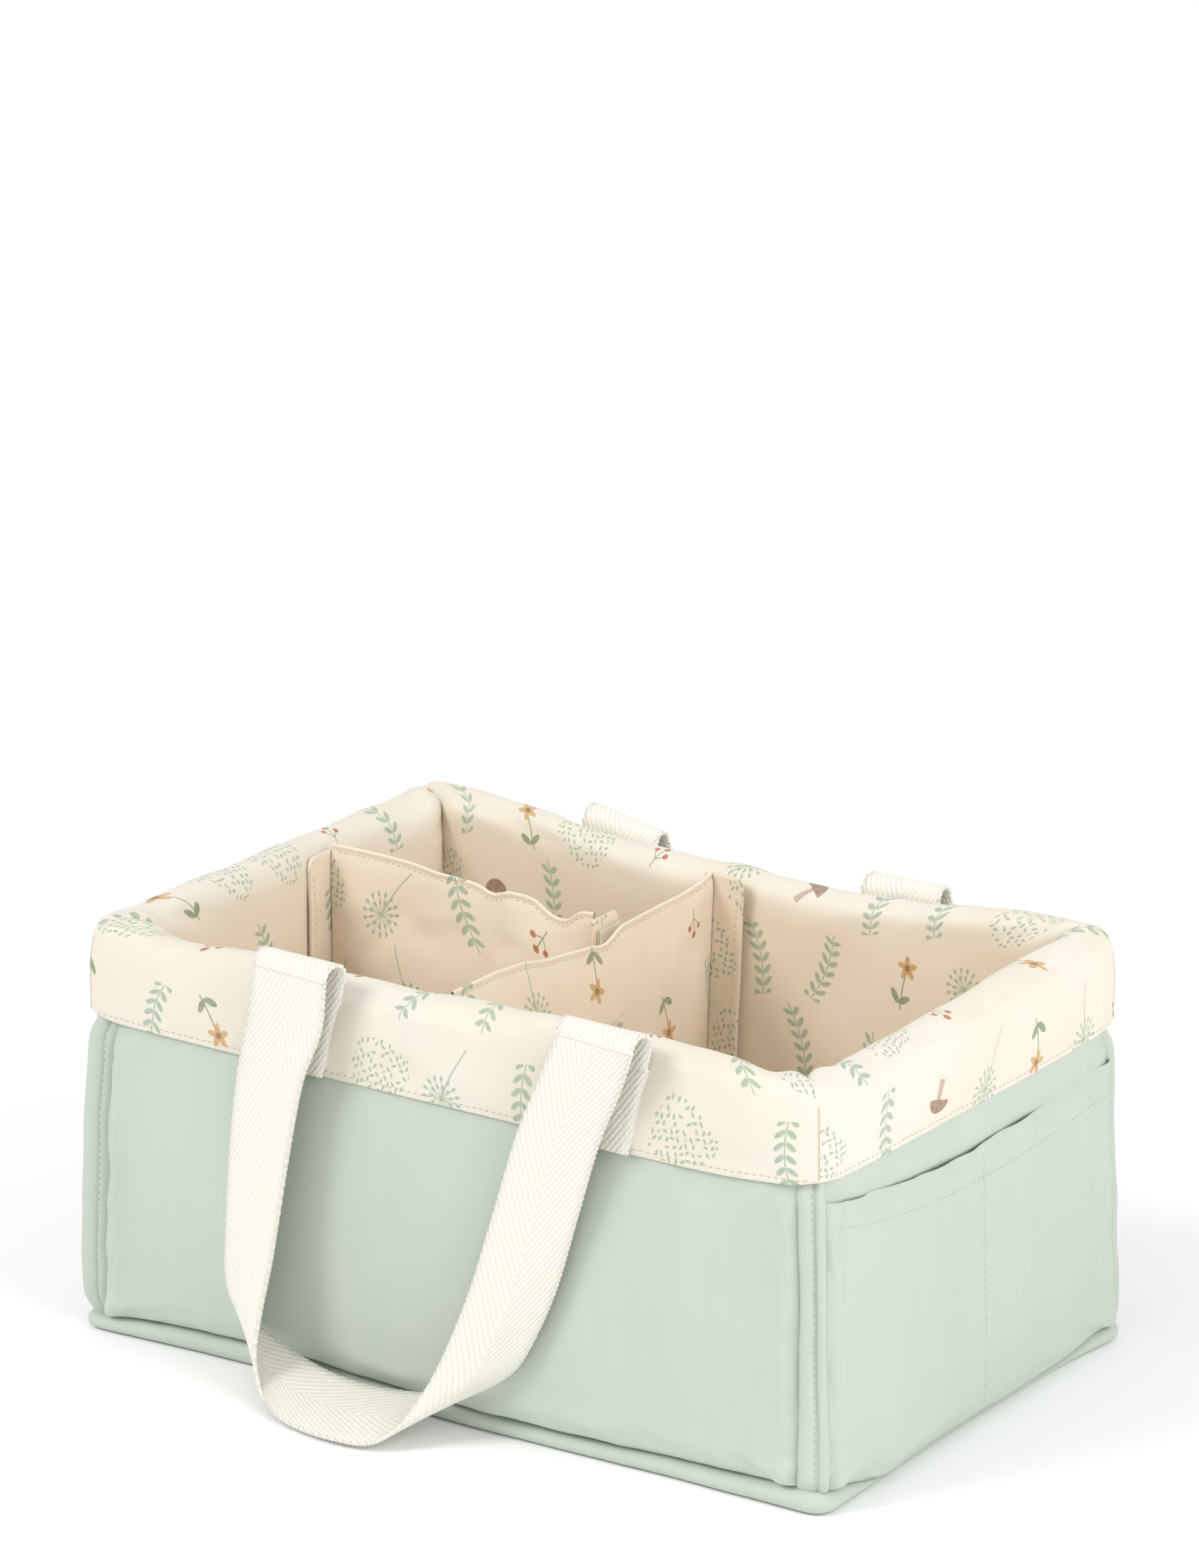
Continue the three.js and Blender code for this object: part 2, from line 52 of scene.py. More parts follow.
# Body
BODY_LENGTH = 370
BODY_WIDTH = 238
RIM_HEIGHT = 188
WALL_THICKNESS = 17
CLEARANCE = 0.3
CORNER_RADIUS = 5
CROWN_HEIGHT_SHARE = 0.5
FOOT_FADE = 0.85
RIM_FADE = 0.6
CUFF_DEPTH = 45
CUFF_CLOTH = 2
PANEL_CLOTH = 1.5
LINING_CLOTH = 1.5
BASE_THICKNESS = 9
BASE_PROUD = 1.5
POCKET_ROOM = 5.3

RIM_RADIUS = WALL_THICKNESS / 2
SHOULDER = RIM_HEIGHT - RIM_RADIUS
HEM = RIM_HEIGHT - CUFF_DEPTH
FOOT = BASE_THICKNESS + CLEARANCE
PANEL_FACE = CUFF_CLOTH + CLEARANCE
PADDING_FACE = PANEL_FACE + PANEL_CLOTH + CLEARANCE
PADDING_BACK = WALL_THICKNESS - LINING_CLOTH - CLEARANCE
FLOOR_TOP = 18.4
INSIDE_LENGTH = BODY_LENGTH / 2 - WALL_THICKNESS
INSIDE_WIDTH = BODY_WIDTH / 2 - WALL_THICKNESS

# Straps
STRAP_WIDTH = 40
STRAP_THICKNESS = 1.8
FOLD_RADIUS = 6
TURN_HEIGHT = RIM_HEIGHT + 2.5
HANDLE_LENGTH = 184
HANDLE_DEPTH = 18
TAB_OFFSETS = {"front": (-68, 86), "back": (-78, 70)}

# Dividers
CROSS_PLACE = -14
LONG_PLACE = 25
DIVIDER_TOP = 180
DIVIDER_BOTTOM = FLOOR_TOP + CLEARANCE

# How much a divider's wavy hem stands above or below its height, by share of its length.
CROSS_TOPS = (
    (0, 2), (0.15, 1.4), (0.25, 0), (0.38, -3.8), (0.5, -5.5), (0.56, -7.6), (0.64, -2.4),
    (0.72, -2.6), (0.88, -2.7), (0.965, -1), (1, 1.7),
)
LONG_TOPS = (
    (0, 6), (0.27, 5.7), (0.47, 4.1), (0.53, 2.4), (0.617, -1.2), (0.69, 2.4), (0.75, 1.6),
    (0.84, -6.2), (0.88, -6.4), (0.96, 0.2), (1, 0.4),
)


def lerp(start, end, share):
    return start + (end - start) * share


def clamp(value, low=0.0, high=1.0):
    return max(low, min(high, value))


def smooth(value, low, high):
    share = clamp((value - low) / (high - low))
    return share * share * (3 - 2 * share)


def table(value, rows):
    """The value's place in a table of (place, amount) rows, smoothly joined."""
    for (low, first), (high, second) in zip(rows, rows[1:]):
        if value <= high:
            return lerp(first, second, smooth(value, low, high))
    return rows[-1][1]


def ripple(x, y, size, seed):
    """A soft random height between about -1 and 1, on waves of one size."""
    return noise.noise(Vector((x / size, y / size, seed)))


# Shape of the walls


class Wall:
    """One wall of the basket, made facing the front and turned to its side."""

    def __init__(self, reach, outer, crown, pocket):
        self.reach = reach
        self.outer = outer
        self.crown = crown
        self.pocket = pocket
        self.neighbour = None

    def swell(self, share, height):
        rise = height / RIM_HEIGHT
        below = max(0, CROWN_HEIGHT_SHARE - rise) / CROWN_HEIGHT_SHARE
        above = max(0, rise - CROWN_HEIGHT_SHARE) / (1 - CROWN_HEIGHT_SHARE)
        fade = FOOT_FADE * below ** 2 + RIM_FADE * above ** 2
        return self.crown * (1 - abs(share) ** 3) * (1 - fade)

    def corner_draw(self, share):
        start = 1 - CORNER_RADIUS / self.reach
        turn = max(0, abs(share) - start) / (1 - start)
        return CORNER_RADIUS * (1 - math.sqrt(0.5)) * turn ** 2

    def outward(self, share, depth, height):
        shift = self.swell(share, height) - self.corner_draw(share)
        return self.outer - depth + shift * layer_share(depth)

    def end(self, depth, height):
        return self.neighbour.outward(1, depth, height)

    def point(self, share, depth, height):
        return Vector((share * self.end(depth, height), -self.outward(share, depth, height), height))

    def at(self, along, depth, height):
        return self.point(clamp(along / self.end(depth, height), -1, 1), depth, height)


LONG_WALL = Wall(BODY_LENGTH / 2, BODY_WIDTH / 2, 10, False)
END_WALL = Wall(BODY_WIDTH / 2, BODY_LENGTH / 2, 3, True)
LONG_WALL.neighbour = END_WALL
END_WALL.neighbour = LONG_WALL
SIDES = {"front": (LONG_WALL, 0), "right": (END_WALL, 1), "back": (LONG_WALL, 2), "left": (END_WALL, 3)}

# Soft corners that stand fuller than the others: place, way, and fullness at heights.
FULL_CORNERS = (
    ((-185, -119), (-1, -0.8), ((0, 6.4), (8, 6.6), (30, 7.0), (90, 5.0), (145, 2.0))),
    ((185, -119), (1, -0.1), ((0, 3.6), (15, 3.2), (60, 2.0), (145, 1.6))),
    ((185, 119), (1, 0.6), ((0, 3.4), (20, 2.8), (60, 1.8), (105, 0.2), (145, -0.6))),
    ((185, -52), (1, 0), ((0, 4.4), (30, 4.0), (80, 1.5), (125, 0))),
    ((185, 40), (1, 0), ((0, 2.2), (30, 1.8), (80, 0.6), (125, 0))),
    ((25, -119), (0, -1), ((0, 3.4), (30, 2.0), (80, 0))),
)
FULLNESS_REACH = 62

# How much the soft rim of each wall stands above or below its height, along x or y.
RIM_LEVELS = {
    "front": (
        (-185, 0.6), (-150, -1.6), (-110, -0.1), (-68, -0.3), (-20, -0.6), (0, 0.6), (27, 1.9),
        (55, 3.6), (100, 3.0), (126, 0.9), (146, 0.4), (163, -2.0), (185, -1.5),
    ),
    "right": (
        (-119, -1.5), (-83, -0.7), (-58, 1.2), (-20, 0.4), (18, 1.8), (60, 2.0), (100, 1.4),
        (119, 2.2),
    ),
    "back": (
        (-185, 1.8), (-173, 3.5), (-150, 3.6), (-125, 2.8), (-110, 1.4), (-94, -2.0), (-60, -4.6),
        (-25, -5.8), (-3, -4.2), (15, -6.0), (49, -6.8), (85, -4.2), (122, -0.5), (143, 1.2),
        (160, 1.2), (173, 1.0), (185, 2.2),
    ),
    "left": (
        (-119, 0.6), (-97, -1.3), (-75, 0.0), (10, 0.7), (45, 0.7), (72, 0.5), (93, -1.4),
        (104, -1.8), (119, 1.8),
    ),
}
# The same for the front cuff's hem.
HEM_LEVEL = ((-185, 0), (-110, 0.8), (30, 0.4), (85, -1.6), (140, -2.3), (172, -1.2), (185, 0))
# Above this height a wall's cloth follows the levels of its rim.
RIM_START = HEM + 12

# The lining stands further in at the back left corner.
THICK_CORNER = (-168, 102)
THICK_CORNER_REACH = (25, 45)
THICK_CORNER_LINING = 9.0


def rim_level(x, y):
    """Rise of the rim above a point of a wall. Both walls give the same at their shared corner."""
    long_depth = BODY_WIDTH / 2 - abs(y)
    end_depth = BODY_LENGTH / 2 - abs(x)
    if long_depth < end_depth:
        rows = RIM_LEVELS["front" if y < 0 else "back"]
        return table(x * BODY_LENGTH / 2 / (BODY_LENGTH / 2 - long_depth), rows)
    rows = RIM_LEVELS["left" if x < 0 else "right"]
    return table(y * BODY_WIDTH / 2 / (BODY_WIDTH / 2 - end_depth), rows)


def fuller(point, layer=1.0):
    """The point moved out by the filling gathered in the corners, and up or down with the rim."""
    moved = point.copy()
    for (x, y), way, heights in FULL_CORNERS:
        distance = math.hypot(point.x - x, point.y - y) / FULLNESS_REACH
        amount = table(point.z, heights) * math.exp(-distance ** 2) * layer
        moved.x += way[0] * amount
        moved.y += way[1] * amount
    off_x = (point.x - THICK_CORNER[0]) / THICK_CORNER_REACH[0]
    off_y = (point.y - THICK_CORNER[1]) / THICK_CORNER_REACH[1]
    moved.x += THICK_CORNER_LINING * math.exp(-off_y ** 2 - off_x ** 2) * (1 - layer)
    at_rim = smooth(point.z, RIM_START, SHOULDER)
    if at_rim > 0:
        moved.z += rim_level(point.x, point.y) * at_rim
    if point.y < -INSIDE_WIDTH:
        moved.z += table(point.x, HEM_LEVEL) * smooth(point.z, HEM - 20, HEM - 4) * (1 - at_rim)
    return moved


def turned(point, quarters):
    """The point turned about the vertical by quarter turns."""
    x, y, z = point
    for _ in range(quarters):
        x, y = -y, x
    return Vector((x, y, z))


def layer_share(depth):
    """1 for the outer layers of a wall and 0 for its lining."""
    return clamp((PADDING_BACK - depth) / (PADDING_BACK - PADDING_FACE))


def on_wall(side, along, depth, height):
    """A point of the settled wall, from its place along the wall in millimetres."""
    wall, quarters = SIDES[side]
    return fuller(turned(wall.at(along, depth, height), quarters), layer_share(depth))


def rim_point(radius, angle):
    """Depth and height on the round rim: angle 0 is outside and half a turn inside."""
    return RIM_RADIUS - radius * math.cos(angle), SHOULDER + radius * math.sin(angle)


# Making pieces


def new_piece(name, mesh_builder, material, smooth_faces=True):
    mesh = bpy.data.meshes.new(name)
    mesh_builder.to_mesh(mesh)
    mesh_builder.free()
    for face in mesh.polygons:
        face.use_smooth = smooth_faces
    piece = bpy.data.objects.new(name, mesh)
    bpy.context.scene.collection.objects.link(piece)
    mesh.materials.append(material)
    return piece


def closer_at_ends(share, amount):
    return share - amount * math.sin(2 * math.pi * share) / (2 * math.pi)


def cloth_grid(
    name, columns, rows, place, size, material, offset=(0, 0), closer=(0, 0), row_places=None
):
    """A rectangle of cloth whose points are put in place by their shares of its width and height.

    closer draws the columns and the rows together near the cloth's edges. row_places says how
    far along the cloth each row lies, where the rows aren't evenly spread."""
    builder = bmesh.new()
    layer = builder.loops.layers.uv.new("cloth")
    bmesh.ops.create_grid(builder, x_segments=columns, y_segments=rows, size=0.5)
    for vert in builder.verts:
        vert.co.x = closer_at_ends(vert.co.x + 0.5, closer[0])
        vert.co.y = closer_at_ends(vert.co.y + 0.5, closer[1])
    for face in builder.faces:
        for loop in face.loops:
            u, v = loop.vert.co.x, loop.vert.co.y
            along = v * size[1] if row_places is None else row_places[round(v * rows)]
            loop[layer].uv = ((u * size[0] + offset[0]) * MM, (along + offset[1]) * MM)
    for vert in builder.verts:
        vert.co = Vector(place(vert.co.x, vert.co.y)) * MM
    return new_piece(name, builder, material)


def finer(piece, levels=1):
    modifier = piece.modifiers.new("finer", "SUBSURF")
    modifier.levels = levels
    modifier.render_levels = levels


def thicker(piece, thickness, offset=-1.0):
    modifier = piece.modifiers.new("cloth thickness", "SOLIDIFY")
    modifier.thickness = thickness * MM
    modifier.offset = offset
    modifier.use_even_offset = False


def bake_shape(piece):
    """Makes the piece's modifiers part of its mesh."""
    graph = bpy.context.evaluated_depsgraph_get()
    mesh = bpy.data.meshes.new_from_object(piece.evaluated_get(graph), depsgraph=graph)
    piece.modifiers.clear()
    piece.data = mesh


def push_along_normals(piece, amount):
    """Moves every point along its normal by amount(point in mm, index) in millimetres."""
    normals = [normal.vector.copy() for normal in piece.data.vertex_normals]
    for vert, normal in zip(piece.data.vertices, normals):
        vert.co += normal * amount(vert.co / MM, vert.index) * MM


PUFF_FRAMES = 20


def puff(piece, pinned, pressure, slack, cap):
    """Lets the cloth swell under its filling, held along its seams, and keeps the result."""
    before = [vert.co.copy() for vert in piece.data.vertices]
    seam = piece.vertex_groups.new(name="seam")
    seam.add(pinned, 1.0, "REPLACE")
    modifier = piece.modifiers.new("filling", "CLOTH")
    settings = modifier.settings
    settings.quality = 6
    settings.mass = 0.3
    settings.vertex_group_mass = "seam"
    settings.use_pressure = True
    settings.uniform_pressure_force = pressure
    settings.shrink_min = -slack
    settings.tension_stiffness = 15
    settings.compression_stiffness = 15
    settings.shear_stiffness = 5
    settings.bending_stiffness = 0.5
    settings.effector_weights.gravity = 0
    modifier.collision_settings.use_collision = False
    modifier.point_cache.frame_start = 1
    modifier.point_cache.frame_end = PUFF_FRAMES
    scene = bpy.context.scene
    for number in range(1, PUFF_FRAMES + 1):
        scene.frame_set(number)
    graph = bpy.context.evaluated_depsgraph_get()
    moved = piece.evaluated_get(graph).to_mesh()
    after = [vert.co.copy() for vert in moved.vertices]
    piece.modifiers.clear()
    piece.vertex_groups.clear()
    for vert, old, new in zip(piece.data.vertices, before, after):
        step = new - old
        if step.length > cap * MM:
            step *= cap * MM / step.length
        vert.co = old + step
    scene.frame_set(1)


def border(piece):
    """Indices of the points on the open edges of a piece."""
    builder = bmesh.new()
    builder.from_mesh(piece.data)
    found = [vert.index for vert in builder.verts if vert.is_boundary]
    builder.free()
    return found


def surface_of(piece):
    graph = bpy.context.evaluated_depsgraph_get()
    return BVHTree.FromObject(piece, graph)


def even_points(points, spacing):
    """Points a fixed distance apart along a line of points."""
    found = []
    left = spacing / 2
    for start, end in zip(points, points[1:]):
        length = (end - start).length
        while left <= length and length > 0:
            found.append((start.lerp(end, left / length), (end - start).normalized()))
            left += spacing
        left -= length
    return found


STITCH_LIFT = 0.08


def stitches(name, lines, material, on, body="basket", length=2.0, gap=1.2, width=0.42):
    """Rows of thread stitches that lie on a piece, along lines of points in millimetres."""
    surface = surface_of(on)
    builder = bmesh.new()
    for line in lines:
        for centre, way in even_points([Vector(p) for p in line], length + gap):
            spot, normal, _, _ = surface.find_nearest(centre * MM)
            if spot is None:
                continue
            side = normal.cross(way).normalized()
            way = side.cross(normal).normalized()
            turn = Matrix((way, side, normal)).transposed().to_4x4()
            size = Matrix.Diagonal((length / 2 * MM, width / 2 * MM, width / 2 * MM, 1))
            matrix = Matrix.Translation(spot + normal * STITCH_LIFT * MM) @ turn @ size
            bmesh.ops.create_icosphere(builder, subdivisions=1, radius=1, matrix=matrix)
    seam = new_piece(name, builder, material)
    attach(seam, body)


def dress(node, material):
    """Gives its material to a hidden piece of the frame that stays as it is."""
    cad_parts[node].data.materials.clear()
    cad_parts[node].data.materials.append(material)


# Finishes


class Amount:
    """A number that varies over a cloth. Sums and products of amounts become nodes."""

    def __init__(self, nodes, links, socket):
        self.nodes = nodes
        self.links = links
        self.socket = socket

    def math(self, operation, *others):
        node = self.nodes.new("ShaderNodeMath")
        node.operation = operation
        for slot, value in zip(node.inputs, (self, *others)):
            if isinstance(value, Amount):
                self.links.new(value.socket, slot)
            else:
                slot.default_value = value
        return Amount(self.nodes, self.links, node.outputs[0])

    def __add__(self, other):
        return self.math("ADD", other)

    def __sub__(self, other):
        return self.math("SUBTRACT", other)

    def __mul__(self, other):
        return self.math("MULTIPLY", other)

    def __truediv__(self, other):
        return self.math("DIVIDE", other)

    def __abs__(self):
        return self.math("ABSOLUTE")

    def floor(self):
        return self.math("FLOOR")

    def sine(self):
        return self.math("SINE")

    def cosine(self):
        return self.math("COSINE")

    def root(self):
        return self.math("SQRT")

    def modulo(self, other):
        return self.math("FLOORED_MODULO", other)

    def least(self, other):
        return self.math("MINIMUM", other)

    def most(self, other):
        return self.math("MAXIMUM", other)

    def clamped(self):
        return self.math("MAXIMUM", 0.0).math("MINIMUM", 1.0)

    def inked(self, softness=0.22):
        """1 where this distance in millimetres is below zero, with a soft edge."""
        return (self * (-1 / softness) + 0.5).clamped()


def length_of(x, y):
    return (x * x + y * y).root()


class Finish:
    """A fabric's material: one shader, its colour, roughness and relief worked out by nodes."""

    def __init__(self, name, roughness, sheen=0.0, sheen_roughness=0.5):
        self.material = bpy.data.materials.new(name)
        self.material.use_nodes = True
        self.nodes = self.material.node_tree.nodes
        self.links = self.material.node_tree.links
        self.shader = self.nodes["Principled BSDF"]
        self.shader.inputs["Roughness"].default_value = roughness
        self.shader.inputs["Sheen Weight"].default_value = sheen
        self.shader.inputs["Sheen Roughness"].default_value = sheen_roughness
        self.shader.inputs["Specular IOR Level"].default_value = 0.3

    def cloth_place(self):
        """Place on the cloth in millimetres: across and along."""
        uv = self.nodes.new("ShaderNodeUVMap")
        uv.uv_map = "cloth"
        parts = self.nodes.new("ShaderNodeSeparateXYZ")
        self.links.new(uv.outputs["UV"], parts.inputs[0])
        across = Amount(self.nodes, self.links, parts.outputs[0]) * 1000
        along = Amount(self.nodes, self.links, parts.outputs[1]) * 1000
        return across, along

    def object_place(self):
        coordinates = self.nodes.new("ShaderNodeTexCoord")
        return coordinates.outputs["Object"]

    def random(self, x, y):
        """Three random numbers for each whole pair x, y."""
        pair = self.nodes.new("ShaderNodeCombineXYZ")
        self.links.new(x.socket, pair.inputs[0])
        self.links.new(y.socket, pair.inputs[1])
        node = self.nodes.new("ShaderNodeTexWhiteNoise")
        node.noise_dimensions = "2D"
        self.links.new(pair.outputs[0], node.inputs["Vector"])
        parts = self.nodes.new("ShaderNodeSeparateColor")
        self.links.new(node.outputs["Color"], parts.inputs[0])
        return [Amount(self.nodes, self.links, output) for output in parts.outputs]

    def mottle(self, scale, detail=3.0, stretch=(1.0, 1.0, 1.0), roughness=0.55):
        """Soft random patches. Scale is how many there are in a metre."""
        mapping = self.nodes.new("ShaderNodeMapping")
        mapping.inputs["Scale"].default_value = stretch
        self.links.new(self.object_place(), mapping.inputs["Vector"])
        node = self.nodes.new("ShaderNodeTexNoise")
        node.inputs["Scale"].default_value = scale
        node.inputs["Detail"].default_value = detail
        node.inputs["Roughness"].default_value = roughness
        self.links.new(mapping.outputs[0], node.inputs["Vector"])
        return Amount(self.nodes, self.links, node.outputs["Fac"])

    def mix(self, factor, first, second):
        """Colour between two, each a colour or a socket."""
        node = self.nodes.new("ShaderNodeMix")
        node.data_type = "RGBA"
        self.links.new(factor.socket, node.inputs[0])
        for slot, colour in ((node.inputs[6], first), (node.inputs[7], second)):
            if isinstance(colour, bpy.types.NodeSocket):
                self.links.new(colour, slot)
            else:
                slot.default_value = (*colour, 1)
        return node.outputs[2]

    def colour(self, socket):
        self.links.new(socket, self.shader.inputs["Base Color"])

    def rough(self, amount):
        self.links.new(amount.socket, self.shader.inputs["Roughness"])

    def relief(self, amount, depth, strength=1.0):
        """Surface relief from an amount between 0 and 1, depth in millimetres."""
        bump = self.nodes.new("ShaderNodeBump")
        bump.inputs["Strength"].default_value = strength
        bump.inputs["Distance"].default_value = depth * MM
        self.links.new(amount.socket, bump.inputs["Height"])
        self.links.new(bump.outputs["Normal"], self.shader.inputs["Normal"])


def srgb(red, green, blue):
    """A colour from its screen values of 0 to 255."""
    shares = (red / 255, green / 255, blue / 255)
    return tuple(c / 12.92 if c <= 0.04045 else ((c + 0.055) / 1.055) ** 2.4 for c in shares)


SAGE = srgb(195, 203, 193)
SAGE_DEEP = srgb(185, 195, 183)
CREAM = srgb(226, 221, 209)
CREAM_DEEP = srgb(221, 213, 197)
# Painted warm bounce light and shade: the cream print as it looks inside the basket, warmer than the
# same cloth outside.
LINING_PAINTED_SHADE = srgb(236, 224, 206)
LINING_DEEP_PAINTED_SHADE = srgb(230, 213, 188)
WEBBING = srgb(237, 235, 227)
# The deeper webbing colour is painted shade in the rib grooves, mixed with random fuzz.
WEBBING_GROOVE_SHADE_AND_FUZZ = srgb(222, 217, 202)
PRINT_SAGE = srgb(160, 178, 156)
PRINT_MOSS = srgb(132, 146, 112)
PRINT_OCHRE = srgb(201, 160, 104)
PRINT_BARK = srgb(146, 116, 92)
PRINT_MAUVE = srgb(190, 160, 148)
PRINT_RUST = srgb(178, 100, 58)
# Where the painted warm shade inside the basket begins along the cuff cloth, and over how many
# millimetres it blends in.
RIM_ALONG = 66
RIM_BLEND = 16
PRINT_CELL = 40.0
PRINT_ROW = PRINT_CELL * 1.04
MOTIF_SCALE = 1.2


def plain_weave(across, along, pitch):
    """Height of crossing threads, from 0 to 1."""
    turn = 2 * math.pi / pitch
    return ((across * turn).sine() * (along * turn).sine()) * 0.5 + 0.5


def sage_cotton():
    finish = Finish("sage_cotton", 0.58, sheen=0.18, sheen_roughness=0.35)
    across, along = finish.cloth_place()
    patches = finish.mottle(14, 4)
    streaks = finish.mottle(60, 2, (1.0, 1.0, 0.08))
    tone = (patches * 0.6 + streaks * 0.4 - 0.25) * 1.6
    finish.colour(finish.mix(tone.clamped(), SAGE_DEEP, SAGE))
    finish.rough(patches * 0.16 + 0.5)
    twill = ((across + along) * (2 * math.pi / 0.55)).sine() * 0.5 + 0.5
    crumple = finish.mottle(38, 5, (1.0, 1.0, 0.7), 0.6)
    finish.relief(twill * 0.12 + crumple * 1.2, 0.5, 0.55)
    return finish.material


def leaf(x, y, reach, width):
    """Distance in millimetres to a leaf that lies along y from the origin."""
    return (length_of(x / width, (y - reach) / reach) - 1) * width


def rotated(x, y, angle):
    """x and y turned by a varying or fixed angle."""
    if isinstance(angle, Amount):
        c, s = angle.cosine(), angle.sine()
    else:
        c, s = math.cos(angle), math.sin(angle)
    return x * c + y * s, y * c - x * s


def sprig(x, y):
    """A bending twig with pairs of small oval leaves."""
    bend = y * y * 0.012 + y * 0.05
    x = x - bend
    pitch = 4.4
    step = (y + 30).modulo(pitch) - pitch / 2
    a, b = rotated(abs(x) - 0.4, step + 1.6, math.radians(-50))
    leaves = leaf(a, b, 2.3, 1.0)
    inside = abs(y + 1) - 13.8
    stem = (abs(x) - 0.28).most(abs(y) - 15)
    return leaves.most(inside).least(stem)


def seed_head(x, y):
    """A round head of fine rays with a seed at each tip, on a thin stalk."""
    y = y - 6
    radius = length_of(x, y)
    angle = y.math("ARCTAN2", x)
    rays = None
    for count, reach, half in ((15, 7.2, 0.0), (11, 4.3, 0.5)):
        step = 2 * math.pi / count
        off = ((angle + half * step).modulo(step) - step / 2) * radius
        tip = length_of(off / 0.62, (radius - reach) / 1.05) - 1
        ray = (abs(off) - 0.13).most(radius - reach)
        both = tip.least(ray)
        rays = both if rays is None else rays.least(both)
    stalk = (abs(x - y * y * 0.006) - 0.28).most(abs(y + 11) - 10)
    return rays.least(radius - 1.0).least(stalk)


def leaf_cloud(finish, x, y):
    """A loose cloud of small leaves with a ragged outline."""
    pitch = 2.5
    column, row = (x / pitch).floor(), (y / pitch).floor()
    turn, first, second = finish.random(column + 0.5, row + 0.5)
    a = x - (column + 0.5) * pitch + (first - 0.5) * 0.8
    b = y - (row + 0.5) * pitch + (second - 0.5) * 0.8
    a, b = rotated(a, b, turn * 2.4 - 0.4)
    leaves = (length_of(a / 0.5, b / 1.05) - 1) * 0.5
    missing = ((first * 7.3).modulo(1.0) - 0.82) * 8
    angle = y.math("ARCTAN2", x)
    outline = length_of(x, y * 1.15) - 13 - (angle * 3).sine() * 1.6 - (angle * 7 + 1.0).sine() * 0.8
    return leaves.most(outline).most(missing)


def blossom(x, y):
    """Petals, then the middle, of a five-petalled flower."""
    y = y - 3
    radius = length_of(x, y)
    angle = y.math("ARCTAN2", x)
    petals = radius - ((angle * 5).cosine() * 1.25 + 3.5)
    return petals, radius - 1.25


def blossom_stalk(x, y):
    stalk = (abs(x + y * y * 0.01) - 0.3).most(abs(y + 6) - 7)
    a, b = rotated(abs(x), y + 11, math.radians(-48))
    return stalk.least(leaf(a, b, 3.0, 1.3))


def toadstool(x, y):
    """Cap, then stem, of a small mushroom."""
    cap = ((length_of(x / 6.2, y / 5.0) - 1) * 5).most(y * -1 + 0.2)
    stem = (abs(x) - (y * -0.08 + 1.1)).most(abs(y + 3.2) - 3.6)
    return cap, stem


def berries(x, y):
    """Three berries, then their stalks."""
    fruit = length_of(x, y - 3.4) - 1.25
    fruit = fruit.least(length_of(x - 3.2, y - 1.0) - 1.1)
    fruit = fruit.least(length_of(x + 3.0, y - 0.4) - 1.15)
    stalk = (abs(x) - 0.22).most(abs(y + 1.4) - 4.4)
    a, b = rotated(abs(x), y + 2.6, math.radians(-45))
    return fruit, stalk.least((abs(a) - 0.2).most(abs(b - 2) - 2.2))


def print_cloth(name, cream, cream_deep, painted_inside_shade=None):
    """Cream cotton with a scattered garden print: one motif in each cell of a staggered layout.

    The last argument holds two warmer colours painted on the cloth past the rim: painted warm bounce
    light and shade inside the basket, not colours of the cloth."""
    finish = Finish(name, 0.78, sheen=0.12, sheen_roughness=0.5)
    across, along = finish.cloth_place()
    patches = finish.mottle(10, 3)
    tone = (patches * 2.0 - 0.5).clamped()
    colour = finish.mix(tone, cream_deep, cream)
    if painted_inside_shade is not None:
        # Past the rim the colour turns to painted warm bounce light and shade.
        inside_shade_share = ((along - RIM_ALONG) / RIM_BLEND).clamped()
        colour = finish.mix(inside_shade_share, colour, finish.mix(tone, *painted_inside_shade))
    up = along * -1
    row = (up / PRINT_ROW).floor()
    shifted = across / PRINT_CELL + row * 0.5 + 0.17
    column = shifted.floor()
    pick, first, second = finish.random(column + 0.5, row + 0.5)
    x = (shifted - column - 0.5) * PRINT_CELL + (first - 0.5) * 9
    y = (up / PRINT_ROW - row - 0.5) * PRINT_CELL + (second - 0.5) * 7
    lean = (first * 13.7).modulo(1.0) * 1.1 - 0.55
    x, y = rotated(x / MOTIF_SCALE, y / MOTIF_SCALE, lean)
    wash = finish.mottle(420, 2) * 0.5 + 0.62
    petals, middle = blossom(x, y)
    cap, stem = toadstool(x, y + 1)
    fruit, stalks = berries(x, y)
    # Each motif fills the cells whose random pick lies between its two limits.
    motifs = (
        (sprig(x, y), 0.0, 0.28, PRINT_SAGE),
        (leaf_cloud(finish, x, y), 0.28, 0.5, PRINT_SAGE),
        (seed_head(x, y), 0.5, 0.58, PRINT_SAGE),
        (blossom_stalk(x, y), 0.58, 0.72, PRINT_MOSS),
        (petals, 0.58, 0.72, PRINT_OCHRE),
        (middle, 0.58, 0.72, PRINT_BARK),
        (stem, 0.72, 0.84, PRINT_MAUVE),
        (cap, 0.72, 0.84, PRINT_BARK),
        (stalks, 0.84, 0.94, PRINT_MOSS),
        (fruit, 0.84, 0.94, PRINT_RUST),
    )
    for distance, low, high, ink in motifs:
        above = (pick - low).math("GREATER_THAN", 0.0)
        below = (pick - high).math("LESS_THAN", 0.0)
        mask = distance.inked() * (above * below)
        colour = finish.mix((mask * wash).clamped(), colour, ink)
    finish.colour(colour)
    weave = plain_weave(across, along, 0.62)
    crumple = finish.mottle(45, 5)
    finish.relief(weave * 0.14 + crumple * 1.1, 0.5, 0.5)
    return finish.material


